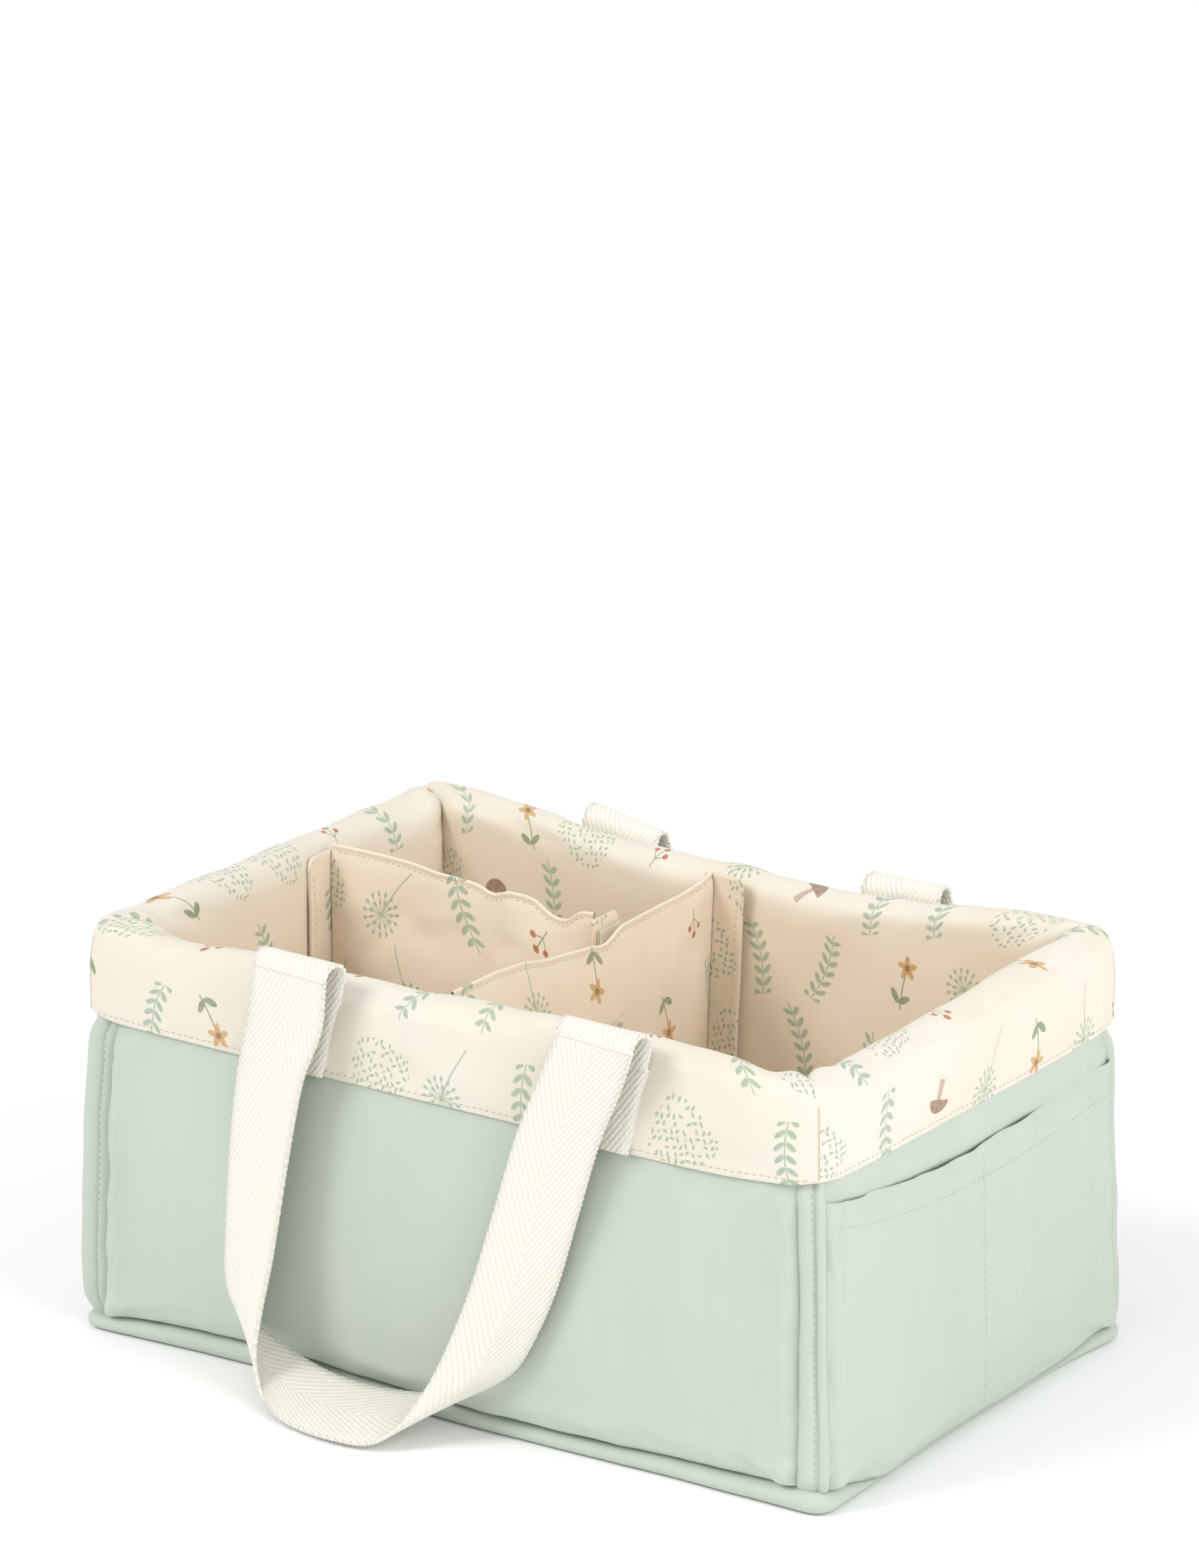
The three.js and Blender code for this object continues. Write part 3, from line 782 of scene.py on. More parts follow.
def herringbone():
    """Cotton webbing: slanting ribs that meet in a line of points down the middle."""
    finish = Finish("webbing", 0.8, sheen=0.2, sheen_roughness=0.5)
    across, along = finish.cloth_place()
    slant = math.radians(28)
    rib_pitch, yarn_pitch = 2.3, 0.9
    rib = along * math.sin(slant) - abs(across - STRAP_WIDTH / 2) * math.cos(slant)
    ribs = (rib * (2 * math.pi / rib_pitch)).sine() * 0.5 + 0.5
    yarn = along * math.cos(slant) + abs(across - STRAP_WIDTH / 2) * math.sin(slant)
    yarns = (yarn * (2 * math.pi / yarn_pitch)).sine() * 0.5 + 0.5
    fuzz = finish.mottle(900, 2)
    height = ribs.math("POWER", 0.6) * (yarns * 0.25 + 0.75)
    # Colour follows the rib height: painted shade in the grooves between the ribs, plus random fuzz.
    tone = (height * 0.7 + fuzz * 0.4).clamped()
    finish.colour(finish.mix(tone, WEBBING_GROOVE_SHADE_AND_FUZZ, WEBBING))
    finish.relief(height + fuzz * 0.15, 0.35, 0.8)
    return finish.material


def thread(name, colour, deep):
    finish = Finish(name, 0.6)
    patches = finish.mottle(700, 2)
    finish.colour(finish.mix(patches, deep, colour))
    finish.relief(patches, 0.1, 0.4)
    return finish.material


def pile_tape():
    """Hook-and-loop tape: a dense short pile."""
    finish = Finish("hook_tape", 0.9, sheen=0.4)
    pile = finish.mottle(1600, 4)
    finish.colour(finish.mix((pile * 1.6 - 0.3).clamped(), srgb(214, 202, 180), srgb(240, 232, 215)))
    finish.relief(pile, 0.5, 0.9)
    return finish.material


def fibre_board():
    finish = Finish("board", 0.85)
    fibres = finish.mottle(260, 5, (1.0, 0.3, 1.0))
    finish.colour(finish.mix(fibres, srgb(165, 150, 122), srgb(196, 182, 154)))
    finish.relief(fibres, 0.2, 0.5)
    return finish.material


sage = sage_cotton()
# Both prints carry painted warm bounce light and shade inside the basket: the cuff cloth past the rim,
# and the pieces inside all over.
printed = print_cloth("cream_print", CREAM, CREAM_DEEP, (LINING_DEEP_PAINTED_SHADE, LINING_PAINTED_SHADE))
shaded_lining_print = print_cloth("lining_print", LINING_PAINTED_SHADE, LINING_DEEP_PAINTED_SHADE)
webbing = herringbone()
cream_thread = thread("cream_thread", srgb(214, 202, 180), srgb(184, 170, 146))
sage_thread = thread("sage_thread", srgb(182, 194, 182), srgb(148, 162, 148))
pale_sage_thread = thread("pale_sage_thread", srgb(191, 201, 190), srgb(174, 186, 173))
tape = pile_tape()
board = fibre_board()

# Walls

PANEL_HALF_END = 114.2
PANEL_TOP = HEM + 5
CLOSER = (0.7, 0.72)
# Width on the long faces of the corner strips, by height: plain, and rolled round the corner.
STRIP_WIDTHS = ((9, 11.2), (22, 10.2), (50, 8.0), (90, 7.2), (143, 8.4))
ROLL_WIDTHS = ((9, 9.0), (30, 10.6), (90, 11.2), (143, 11.0))
# Height of the crease above the lip of the base: along the front, at the back and at the ends.
FRONT_FOOT = ((-185, 6.0), (-110, 8.6), (-40, 6.4), (60, 6.0), (130, 7.2), (185, 9.4))
BACK_FOOT = 7.0
SIDE_FOOT = 1.6
SIDE_FOOT_REACH = 66
# How far below the hem a pocket's mouth lies at its front end, middle and back end.
MOUTH_FRONT = 6.5
MOUTH_MIDDLE = 19.8
MOUTH_BACK = 15


def strip_width(height, rolled):
    return table(height, ROLL_WIDTHS if rolled else STRIP_WIDTHS)


def foot_line(x, y):
    """Height of the crease between a wall and the lip of the base."""
    if abs(x) / BODY_LENGTH < abs(y) / BODY_WIDTH:
        return table(x, FRONT_FOOT) if y < 0 else BACK_FOOT
    corner = table(math.copysign(BODY_LENGTH / 2, x), FRONT_FOOT) if y < 0 else BACK_FOOT
    return lerp(SIDE_FOOT, corner, smooth(abs(y), SIDE_FOOT_REACH, BODY_WIDTH / 2))


def pocket_mouth(share):
    end = MOUTH_FRONT if share < 0 else MOUTH_BACK
    return HEM - lerp(MOUTH_MIDDLE, end, min(1, share ** 2))


def curl(distance, depth, reach):
    """How far an edge rolls in at a distance from its seam."""
    return depth * math.exp(-(max(0, distance) / reach) ** 1.4)


def side_crease(from_side):
    return curl(from_side, 5.4, 1.5)


def panel_edge(from_side, from_foot, height):
    """Depth of a padded panel near its seams: a full roll, then a quick turn into the crease."""
    free = 1 - smooth(height, HEM - 12, HEM - 1)
    side_roll = 2.3 * math.exp(-((from_side - 6) / 6) ** 2)
    foot_roll = 1.8 * math.exp(-((from_foot - 6) / 8) ** 2)
    creases = side_crease(from_side) + curl(from_foot, 6.5, 1.3)
    return creases - (side_roll + foot_roll) * free + 0.8 * (1 - free)


# Heights of the puckers at the seams of a panel, and of the soft sway of its face.
SIDE_PUCKER = 1.4
FOOT_PUCKER = 0.9
PANEL_SWAY = 1.4


def outer_panel(side):
    wall, quarters = SIDES[side]
    seed = 3.1 + 7 * quarters

    def half(left, height):
        if wall.pocket:
            return PANEL_HALF_END
        return wall.end(PANEL_FACE, height) - strip_width(height, left and side == "front") + 2.2

    def place(u, v):
        level = lerp(FOOT, PANEL_TOP, v)
        along = lerp(-half(True, level), half(False, level), u)
        spot = turned((along, -wall.outer, 0), quarters)
        low = foot_line(spot.x, spot.y) + 0.5 * ripple(along, 0, 16, seed + 3)
        height = lerp(low, PANEL_TOP, v)
        from_side = min(along + half(True, level), half(False, level) - along)
        from_foot = height - low
        share = along / wall.end(PANEL_FACE, height)
        depth = PANEL_FACE + panel_edge(from_side, from_foot, height)
        puckers = ripple(height, along / 5, 6.0, seed) * math.exp(-from_side / 12)
        foot_puckers = ripple(along, height / 5, 7.0, seed + 6) * math.exp(-from_foot / 10)
        sway = ripple(along, height * 0.5, 46, seed + 2) * smooth(from_side, 0, 30)
        under_cuff = 1 - smooth(height, HEM - 14, HEM - 2)
        rise = SIDE_PUCKER * puckers + FOOT_PUCKER * foot_puckers + PANEL_SWAY * sway
        depth -= rise * under_cuff
        if wall.pocket:
            behind = 1 - smooth(height, pocket_mouth(share) - 14, pocket_mouth(share) + 7)
            depth += behind * smooth(from_side, 0, 11) * (POCKET_ROOM + wall.swell(share, height))
            depth -= 0.55 * side_crease(from_side)
        return on_wall(side, along, depth, height)

    size = (2 * wall.reach, PANEL_TOP)
    columns = round(wall.reach / 1.7)
    panel = cloth_grid(f"outer_cloth_{side}", columns, 42, place, size, sage, closer=CLOSER)
    puff(panel, border(panel), pressure=3.0, slack=0.004, cap=1.6)
    finer(panel)
    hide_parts(f"outer_panel_{side}")
    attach(panel, "basket")


def cloth_path():
    """Depth and height of the cuff and lining, from the turned-up hem over the rim to the floor."""
    path = [(2.2, HEM + 9), (2.15, HEM + 4), (1.95, HEM + 1.2), (1.35, HEM + 0.15), (0.6, HEM)]
    path += [(0.12, HEM + 0.8), (0, HEM + 2.6)]
    path += [(0, lerp(HEM + 2.6, SHOULDER, step / 8)) for step in range(1, 9)]
    path += [rim_point(RIM_RADIUS, math.pi * step / 10) for step in range(1, 11)]
    inside = 36
    for step in range(1, inside + 1):
        path.append((WALL_THICKNESS, lerp(SHOULDER, FLOOR_TOP - 3, step / inside)))
    return path


def path_lengths(path):
    total = [0.0]
    for (d0, h0), (d1, h1) in zip(path, path[1:]):
        total.append(total[-1] + math.hypot(d1 - d0, h1 - h0))
    return total


PATH = cloth_path()
PATH_LENGTHS = path_lengths(PATH)
PATH_LENGTH = PATH_LENGTHS[-1]
# Heights of the cloth's waves on the cuff and on the lining.
CLOTH_WAVES = (1.0, 1.5)
BROAD_WAVES = (1.2, 2.4)
CORNER_PUCKER = 1.3
CORNER_ROLL = 1.8
RIM_PINCH = 1.7
PINCH_REACH = 3.2
# How far the joined ends of two cuffs are drawn in where the rim is pinched, outside and inside.
PINCH_DRAW = (0.8, -0.5)
CORNER_HEM_LIFT = 1.6


def corner_lift(height):
    """How far the cuffs' hem rises at a corner."""
    return CORNER_HEM_LIFT * (1 - smooth(height, HEM, RIM_START))


def corner_pinch(from_corner, height):
    """How far the rim is drawn together at a corner."""
    at_rim = smooth(height, SHOULDER - 14, SHOULDER + 4)
    return RIM_PINCH * math.exp(-(from_corner / PINCH_REACH) ** 2) * at_rim


def cuff_and_lining(side):
    wall, quarters = SIDES[side]
    rows = len(PATH) - 1
    seed = 11.3 + 5 * quarters
    from_corners = []

    def place(u, v):
        share = 2 * u - 1
        depth, height = PATH[round(v * rows)]
        point = wall.point(share, depth, height)
        from_corner = (1 - abs(share)) * wall.reach
        from_corners.append(from_corner)
        pinch = corner_pinch(from_corner, height)
        point.z -= pinch
        drawn = pinch * PINCH_DRAW[0 if depth < RIM_RADIUS else 1]
        point.y += drawn
        point.x -= drawn * (1 if share > 0 else -1)
        if depth < RIM_RADIUS:
            point.z += corner_lift(height) * math.exp(-(from_corner / 9) ** 2)
        return fuller(turned(point, quarters), layer_share(depth))

    columns = round(2 * wall.reach / 4.4)
    size = (2 * wall.reach, PATH_LENGTH)
    offset = (quarters * 311.0, 0)
    name = f"cuff_and_lining_{side}"
    cloth = cloth_grid(name, columns, rows, place, size, printed, offset, row_places=PATH_LENGTHS)

    def swell(point, index):
        local = turned(point, (4 - quarters) % 4)
        from_corner = from_corners[index]
        hold = smooth(from_corner, 0, 10)
        above_hem = smooth(point.z, HEM + 3, HEM + 12) if -local.y > wall.outer - 6 else 1
        near_corner = smooth(from_corner, 0, 4)
        puckers = ripple(local.x / 2.5, point.z + local.y, 7, seed) * math.exp(-from_corner / 9)
        inside = 1 if -local.y < wall.outer - RIM_RADIUS else 0
        waves = ripple(local.x, point.z * 0.7, 34, seed + 1) * CLOTH_WAVES[inside]
        broad = ripple(local.x, point.z * 0.4, 80, seed + 4) * BROAD_WAVES[inside]
        roll = inside * CORNER_ROLL * math.exp(-((from_corner - 7) / 6) ** 2) * near_corner
        puckers *= CORNER_PUCKER * near_corner
        return (waves * hold + broad * hold + puckers + roll) * above_hem

    push_along_normals(cloth, swell)
    pinned = set(border(cloth))
    for vert in cloth.data.vertices:
        local = turned(vert.co / MM, (4 - quarters) % 4)
        if -local.y > wall.outer - 8 and vert.co.z / MM < HEM + 5:
            pinned.add(vert.index)
    puff(cloth, sorted(pinned), pressure=3.0, slack=0.006, cap=2.2)
    finer(cloth)
    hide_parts(f"cuff_{side}", f"lining_{side}", f"wall_padding_{side}")
    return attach(cloth, "basket")


for side in SIDES:
    outer_panel(side)
cuffs = {side: cuff_and_lining(side) for side in SIDES}


def cuff_stitches(side):
    reach = SIDES[side][0].reach - 6
    row = [on_wall(side, lerp(-reach, reach, step / 80), 0, HEM + 3) for step in range(81)]
    stitches(f"cuff_stitches_{side}", [row], cream_thread, cuffs[side],
             length=2.2, gap=1.1, width=0.5)


for side in SIDES:
    cuff_stitches(side)

# Corner strips

# Place along the strip (below zero on the long face) and how far it is sunk there. On the long
# face the first places are stretched to the strip's width at each height.
STRIP_REACH = 8.5
STRIP_PROFILE = (
    (-8.5, 6.4), (-8.4, 4.0), (-8.1, 1.6), (-7.4, 0.3), (-6.2, -0.4), (-4.4, -0.4), (-2.8, 0.0),
    (-1.7, 0.2), (-1.1, 0.9), (-0.6, 0.6), (-0.1, -0.4), (0.8, -0.9), (1.8, -0.9), (2.7, -0.6),
    (3.3, 0.0), (3.7, 1.6), (3.8, 5.5),
)
# The same for the front left corner, where the strip rolls round the corner and its sewn edge
# lies next to the panel.
ROLL_PROFILE = (
    (-8.5, 6.4), (-8.4, 3.6), (-8.1, 1.0), (-7.6, 0.0), (-6.9, -0.3), (-6.4, 0.2), (-6.1, 1.5),
    (-5.6, 1.0), (-4.9, -0.6), (-3.7, -1.5), (-2.4, -1.8), (-1.1, -1.6), (0.0, -1.0), (1.6, -0.4),
    (3.0, 0.4), (3.7, 1.8), (3.8, 5.5),
)
STRIP_DEPTH = 0.6
STRIP_TOP = HEM + 3
# Where the strip's stitches run: on a plain strip and on the rolled one.
STITCH_STATIONS = (-2.0, -6.9)


def corner_point(station, depth, height):
    """A point round the front right corner; the station counts from the corner."""
    if station <= 0:
        return turned(LONG_WALL.at(LONG_WALL.end(depth, height) + station, depth, height), 0)
    return turned(END_WALL.at(station - END_WALL.end(depth, height), depth, height), 1)


def corner_strip(name, mirror_x, mirror_y, rolled, seed):
    profile = ROLL_PROFILE if rolled else STRIP_PROFILE
    columns = len(profile) - 1
    rows = 34
    low = foot_line(mirror_x * 184, mirror_y * -118) + 0.4

    def place(u, v):
        station, sunk = profile[round(u * columns)]
        height = lerp(low, STRIP_TOP, v)
        if station < 0:
            station *= strip_width(height, rolled) / STRIP_REACH
        wave = 0.5 * ripple(station * 0.3, height, 22, seed)
        wave += 0.25 * ripple(station, height, 5, seed + 1)
        foot = curl(height - low, 4.5 if rolled else 2.4, 5 if rolled else 2.2)
        under_cuff = 2.6 * smooth(height, HEM - 7, HEM - 0.5)
        depth = STRIP_DEPTH + sunk + foot + under_cuff - wave
        x, y, z = corner_point(station, depth, height)
        return fuller(Vector((x * mirror_x, y * mirror_y, z)))

    size = (24, STRIP_TOP - FOOT)
    strip = cloth_grid(f"corner_strip_{name}", columns, rows, place, size, sage)
    if mirror_x * mirror_y < 0:
        strip.data.flip_normals()
    finer(strip, 2)
    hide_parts(f"corner_welt_{name}")
    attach(strip, "basket")
    line = []
    for step in range(41):
        height = lerp(FOOT + 3, HEM - 1, step / 40)
        station = STITCH_STATIONS[rolled] * strip_width(height, rolled) / STRIP_REACH
        x, y, z = corner_point(station, STRIP_DEPTH, height)
        line.append(fuller(Vector((x * mirror_x, y * mirror_y, z))))
    stitches(f"corner_stitches_{name}", [line], sage_thread, strip, width=0.45)


# Which way each corner is mirrored from the front right one, and whether its strip is rolled.
CORNERS = {
    "front_right": (1, 1, False),
    "front_left": (-1, 1, True),
    "back_right": (1, -1, False),
    "back_left": (-1, -1, False),
}
for number, (name, (mirror_x, mirror_y, rolled)) in enumerate(CORNERS.items()):
    corner_strip(name, mirror_x, mirror_y, rolled, 20.5 + 3 * number)


def cuff_seam(name, mirror_x, mirror_y):
    """The fine upright seam that joins two cuffs at a corner."""
    radius = 0.35

    def place(u, v):
        height = lerp(HEM + 1.8, SHOULDER, v)
        x, y, z = corner_point(0, 0.05, height)
        pinch = corner_pinch(0, height)
        drawn = PINCH_DRAW[0] * pinch
        centre = fuller(Vector(((x - drawn) * mirror_x, (y + drawn) * mirror_y, z - pinch)))
        centre.z += corner_lift(height)
        angle = 2 * math.pi * u
        return centre + Vector((math.cos(angle), math.sin(angle), 0)) * radius

    seam = cloth_grid(f"cuff_seam_{name}", 8, 40, place, (2, 40), cream_thread)
    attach(seam, "basket")


for name, (mirror_x, mirror_y, _) in CORNERS.items():
    cuff_seam(name, mirror_x, mirror_y)

# Pockets

POCKET_HALF = 114.4
POCKET_DEPTH = 1.6
POCKET_PUCKER = 1.5
POCKET_SWAY = 1.3
MOUTH_WAVE = 0.9
# The upright seam that parts the pocket, and how deep and wide it sinks in.
POCKET_SEAM = 5.5
SEAM_DIP = 0.6
SEAM_REACH = 2.2
POCKET_HEM = 13


def pocket(side):
    wall, quarters = SIDES[side]
    seed = 41.7 + quarters

    def place(u, v):
        along = lerp(-POCKET_HALF, POCKET_HALF, u)
        share = along / POCKET_HALF
        from_side = POCKET_HALF - abs(along)
        mouth = pocket_mouth(share) + 0.7 * ripple(along, 0, 14, seed)
        steps = 1.3 * (smooth(along, -84, -80) - 0.5) + 1.6 * (smooth(along, -2, 8) - 0.5)
        mouth += steps
        spot = turned((along, -wall.outer, 0), quarters)
        bottom = foot_line(spot.x, spot.y) - 0.4
        height = lerp(bottom, mouth, v)
        from_foot = height - bottom
        depth = POCKET_DEPTH + panel_edge(from_side, from_foot, height)
        depth += SEAM_DIP * math.exp(-((along - POCKET_SEAM) / SEAM_REACH) ** 2)
        depth -= POCKET_PUCKER * ripple(height, along / 5, 6.0, seed) * math.exp(-from_side / 14)
        depth -= POCKET_SWAY * ripple(along, height * 0.6, 52, seed + 2) * smooth(from_side, 0, 30)
        depth -= 0.7 * side_crease(from_side) * smooth(v, 0.8, 1.0)
        near_mouth = smooth(v, 0.9, 1.0)
        depth += near_mouth * (0.1 + MOUTH_WAVE * ripple(along, 3, 20, seed + 5))
        return on_wall(side, along, depth, height)

    size = (2 * POCKET_HALF, 118)
    cloth = cloth_grid(f"pocket_cloth_{side}", 70, 42, place, size, sage, closer=CLOSER)
    puff(cloth, border(cloth), pressure=2.0, slack=0.004, cap=1.6)
    finer(cloth)
    thicker(cloth, 0.8)
    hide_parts(f"pocket_{side}")
    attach(cloth, "basket")
    hem, middle = [], []
    for step in range(81):
        along = lerp(-POCKET_HALF + 6, POCKET_HALF - 6, step / 80)
        hem.append(on_wall(side, along, 0, pocket_mouth(along / POCKET_HALF) - POCKET_HEM))
        middle.append(on_wall(side, POCKET_SEAM, 0, lerp(8, pocket_mouth(0) - 3, step / 80)))
    stitches(f"pocket_stitches_{side}", [hem, middle], pale_sage_thread, cloth,
             gap=1.4, width=0.35)


for side in ("right", "left"):
    pocket(side)

# Base and floor


def base_outline(length, width, radius, share):
    """A point of a rounded rectangle and its way out, by its share of the way round."""
    quarter = math.pi * radius / 2
    left = (share % 1.0) * 4 * (length + width - 2 * radius + quarter)
    for number in range(4):
        reach, side = (width, length) if number % 2 else (length, width)
        straight = 2 * (reach - radius)
        if left <= straight + quarter:
            break
        left -= straight + quarter
    angle = max(0, left - straight) / radius - math.pi / 2
    out = Vector((math.cos(angle), math.sin(angle), 0))
    point = Vector((min(left, straight) - reach + radius, radius - side, 0)) + out * radius
    return turned(point, number).xy, turned(out, number).xy


# Height share and how far in from the lip's fullest line.
LIP_PROFILE = (
    (0.0, 14.0), (0.0, 9.0), (0.0, 5.0), (0.06, 2.4), (0.22, 0.7), (0.45, 0.0), (0.66, 0.4),
    (0.84, 1.7), (0.95, 3.8), (0.96, 7.0), (0.92, 14.0), (0.45, 15.0), (0.0, 14.0),
)
LIP_INSET = 5
LIP_WAVE = 0.9
LIP_RIPPLE = 0.3
BASE_RADIUS = 9


def base_lip():
    around = 260
    levels = len(LIP_PROFILE) - 1
    length = BODY_LENGTH / 2 + BASE_PROUD - 0.5
    width = BODY_WIDTH / 2 + BASE_PROUD - 0.5

    def place(u, v):
        level, inset = LIP_PROFILE[round(v * levels)]
        outside = inset < LIP_INSET
        spot, out = base_outline(length, width, BASE_RADIUS, u)
        x, y = spot
        fat = LIP_WAVE * ripple(x, y, 52, 51.0) + LIP_RIPPLE * ripple(x, y, 12, 52.0)
        corner = smooth(abs(x), length - 30, length) * smooth(abs(y), width - 30, width)
        top = foot_line(x, y) + 1.6 + 0.3 * fat
        tucked = 4.5 * smooth(abs(x), length - 2, length) * (1 - smooth(abs(y), 60, width))
        spot = spot - out * (inset + tucked - (fat + 0.8 * corner + 0.6) * outside)
        return fuller(Vector((spot.x, spot.y, top * level)), 0.85 if outside else 0.4)

    size = (2 * (BODY_LENGTH + BODY_WIDTH), 24)
    lip = cloth_grid("base_lip", around, levels, place, size, sage)
    builder = bmesh.new()
    builder.from_mesh(lip.data)
    bmesh.ops.remove_doubles(builder, verts=builder.verts, dist=0.01 * MM)
    layer = builder.loops.layers.uv["cloth"]
    known = set(builder.faces)
    sheet_size = Matrix.Diagonal((2 * (length - 12) * MM, 2 * (width - 12) * MM, 1, 1))
    lift = Matrix.Translation((0, 0, 0.3 * MM))
    bmesh.ops.create_grid(builder, x_segments=24, y_segments=16, size=0.5, matrix=lift @ sheet_size)
    for face in builder.faces:
        if face not in known:
            face.normal_flip()
            for loop in face.loops:
                loop[layer].uv = loop.vert.co.xy
    builder.to_mesh(lip.data)
    builder.free()
    for face in lip.data.polygons:
        face.use_smooth = True
    finer(lip)
    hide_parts("base_cover")
    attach(lip, "basket")


base_lip()


def floor_pad():
    def place(u, v):
        x = lerp(-INSIDE_LENGTH + 0.6, INSIDE_LENGTH - 0.6, u)
        y = lerp(-INSIDE_WIDTH + 0.6, INSIDE_WIDTH - 0.6, v)
        edge = min(INSIDE_LENGTH - abs(x), INSIDE_WIDTH - abs(y))
        height = FLOOR_TOP - curl(edge, 3.5, 4.0) + 0.3 * ripple(x, y, 45, 61.0)
        return x, y, min(height, FLOOR_TOP)

    size = (2 * INSIDE_LENGTH, 2 * INSIDE_WIDTH)
    pad = cloth_grid("floor_pad", 60, 38, place, size, shaded_lining_print, (900, 40))
    finer(pad)
    thicker(pad, 5.0)
    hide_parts("lining_floor", "floor_padding")
    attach(pad, "basket")


floor_pad()
dress("base_board", board)

# Dividers

CROSS_LENGTH = 194.0
CROSS_START = -97.0
LONG_LENGTH = 140.2
LONG_START = -163.0
# Height below the top and half thickness of one face, from the hem's crest down.
DIVIDER_PROFILE = (
    (0.0, 0.3), (0.3, 0.7), (1.0, 0.9), (1.7, 0.8), (2.4, 0.6), (3.2, 0.9), (6.0, 1.7),
    (10.0, 2.5), (14.0, 3.2), (19.0, 3.9),
)
PROFILE_END = 19.0
LOW_ROWS = 28
HEM_END = 4.5
HEM_STITCHES = 2.8
END_THICKNESS = 1.6
END_REACH = 16
BEND_FADE = 40
PAD_FOLD = 1.5
HEM_PUCKER = 0.5


def divider(body, seed, length, to_world, hem_wave, tops):
    """A soft pad over its board: two faces, sewn together in a wavy hem along the top."""
    height = DIVIDER_TOP - DIVIDER_BOTTOM
    face = list(DIVIDER_PROFILE)
    face += [(lerp(PROFILE_END, height, step / LOW_ROWS), None) for step in range(1, LOW_ROWS + 1)]
    rows = 2 * len(face) - 1

    def thickness(down, ends):
        fall = smooth(down, height * 0.8, height)
        bulge = math.sin(math.pi * clamp((down - PROFILE_END) / (height - PROFILE_END)))
        return lerp(END_THICKNESS, 3.9 + 2.6 * bulge * (1 - 0.5 * fall), ends)

    def place(u, v):
        along = u * length
        row = round(v * rows)
        side = -1 if row < len(face) else 1
        index = len(face) - 1 - row if row < len(face) else row - len(face)
        down, half = face[index]
        share = along / length
        top = DIVIDER_TOP + table(share, tops)
        ends = smooth(min(along, length - along), 0, END_REACH)
        if half is None:
            half = thickness(down, ends)
        elif down > HEM_END:
            half = lerp(min(half, END_THICKNESS), half, ends)
        straight = lerp(DIVIDER_TOP, DIVIDER_BOTTOM, down / height)
        level = lerp(top - down, straight, smooth(down, 0, height))
        bend = hem_wave(share) * math.exp(-down / BEND_FADE)
        folds = PAD_FOLD * ripple(along + down * 0.5, down * 0.6, 30, seed + side)
        folds *= smooth(down, 8, 30) * ends
        at_hem = math.exp(-abs(down - 7) / 8)
        folds += HEM_PUCKER * ripple(along, down, 9, seed + 2 * side) * at_hem
        across = bend + side * (half + folds if down > HEM_END else half)
        return to_world(along, across, level)

    row_places = [height - down for down, _ in reversed(face)] + [height + down for down, _ in face]
    size = (length, 2 * height)
    pad = cloth_grid(f"{body}_pad", round(length / 3.6), rows, place, size, shaded_lining_print,
                     (seed * 37, 0), row_places=row_places)
    pinned = set(border(pad))
    top_limit = (DIVIDER_TOP - 14) * MM
    pinned |= {vert.index for vert in pad.data.vertices if vert.co.z > top_limit}
    puff(pad, sorted(pinned), pressure=2.0, slack=0.006, cap=2.5)
    finer(pad)
    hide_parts(f"{body}_cover", f"{body}_core")
    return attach(pad, body)


def cross_lean(level):
    """The cross divider leans a little to the right."""
    return lerp(-2.5, 3.5, clamp((level - 40) / 140))


def cross_world(along, across, level):
    return CROSS_PLACE - across + cross_lean(level), CROSS_START + along, level


def long_world(along, across, level):
    return LONG_START + along, LONG_PLACE + across, level


def cross_wave(share):
    return 2.2 * math.sin(share * 7.5 + 0.4) * math.sin(math.pi * share)


def long_wave(share):
    broad = 2.0 * math.sin(share * 8.5 + 1.0)
    quick = 3.0 * math.sin(share * 21.5 + 2.2) * smooth(share, 0.3, 0.7)
    return (broad + quick) * math.sin(math.pi * share)


# For each divider its seed, length, place in the basket, and the bends and heights of its hem.
DIVIDERS = {
    "cross_divider": (71.3, CROSS_LENGTH, cross_world, cross_wave, CROSS_TOPS),
    "long_divider": (83.9, LONG_LENGTH, long_world, long_wave, LONG_TOPS),
}
pads = {body: divider(body, *values) for body, values in DIVIDERS.items()}


def hem_line(side, length, to_world, wave, tops):
    points = []
    for step in range(61):
        share = lerp(0.02, 0.98, step / 60)
        level = DIVIDER_TOP + table(share, tops) - HEM_STITCHES
        points.append(Vector(to_world(share * length, wave(share) + side * 1.2, level)))
    return points


for body, (_, *shape) in DIVIDERS.items():
    lines = [hem_line(side, *shape) for side in (-1, 1)]
    stitches(f"{body}_stitches", lines, cream_thread, pads[body], body)


def upright(level):
    return 0


FLAP_NARROW = 3.5
FLAP_WIDE = 17
FLAP_CORNER = 4


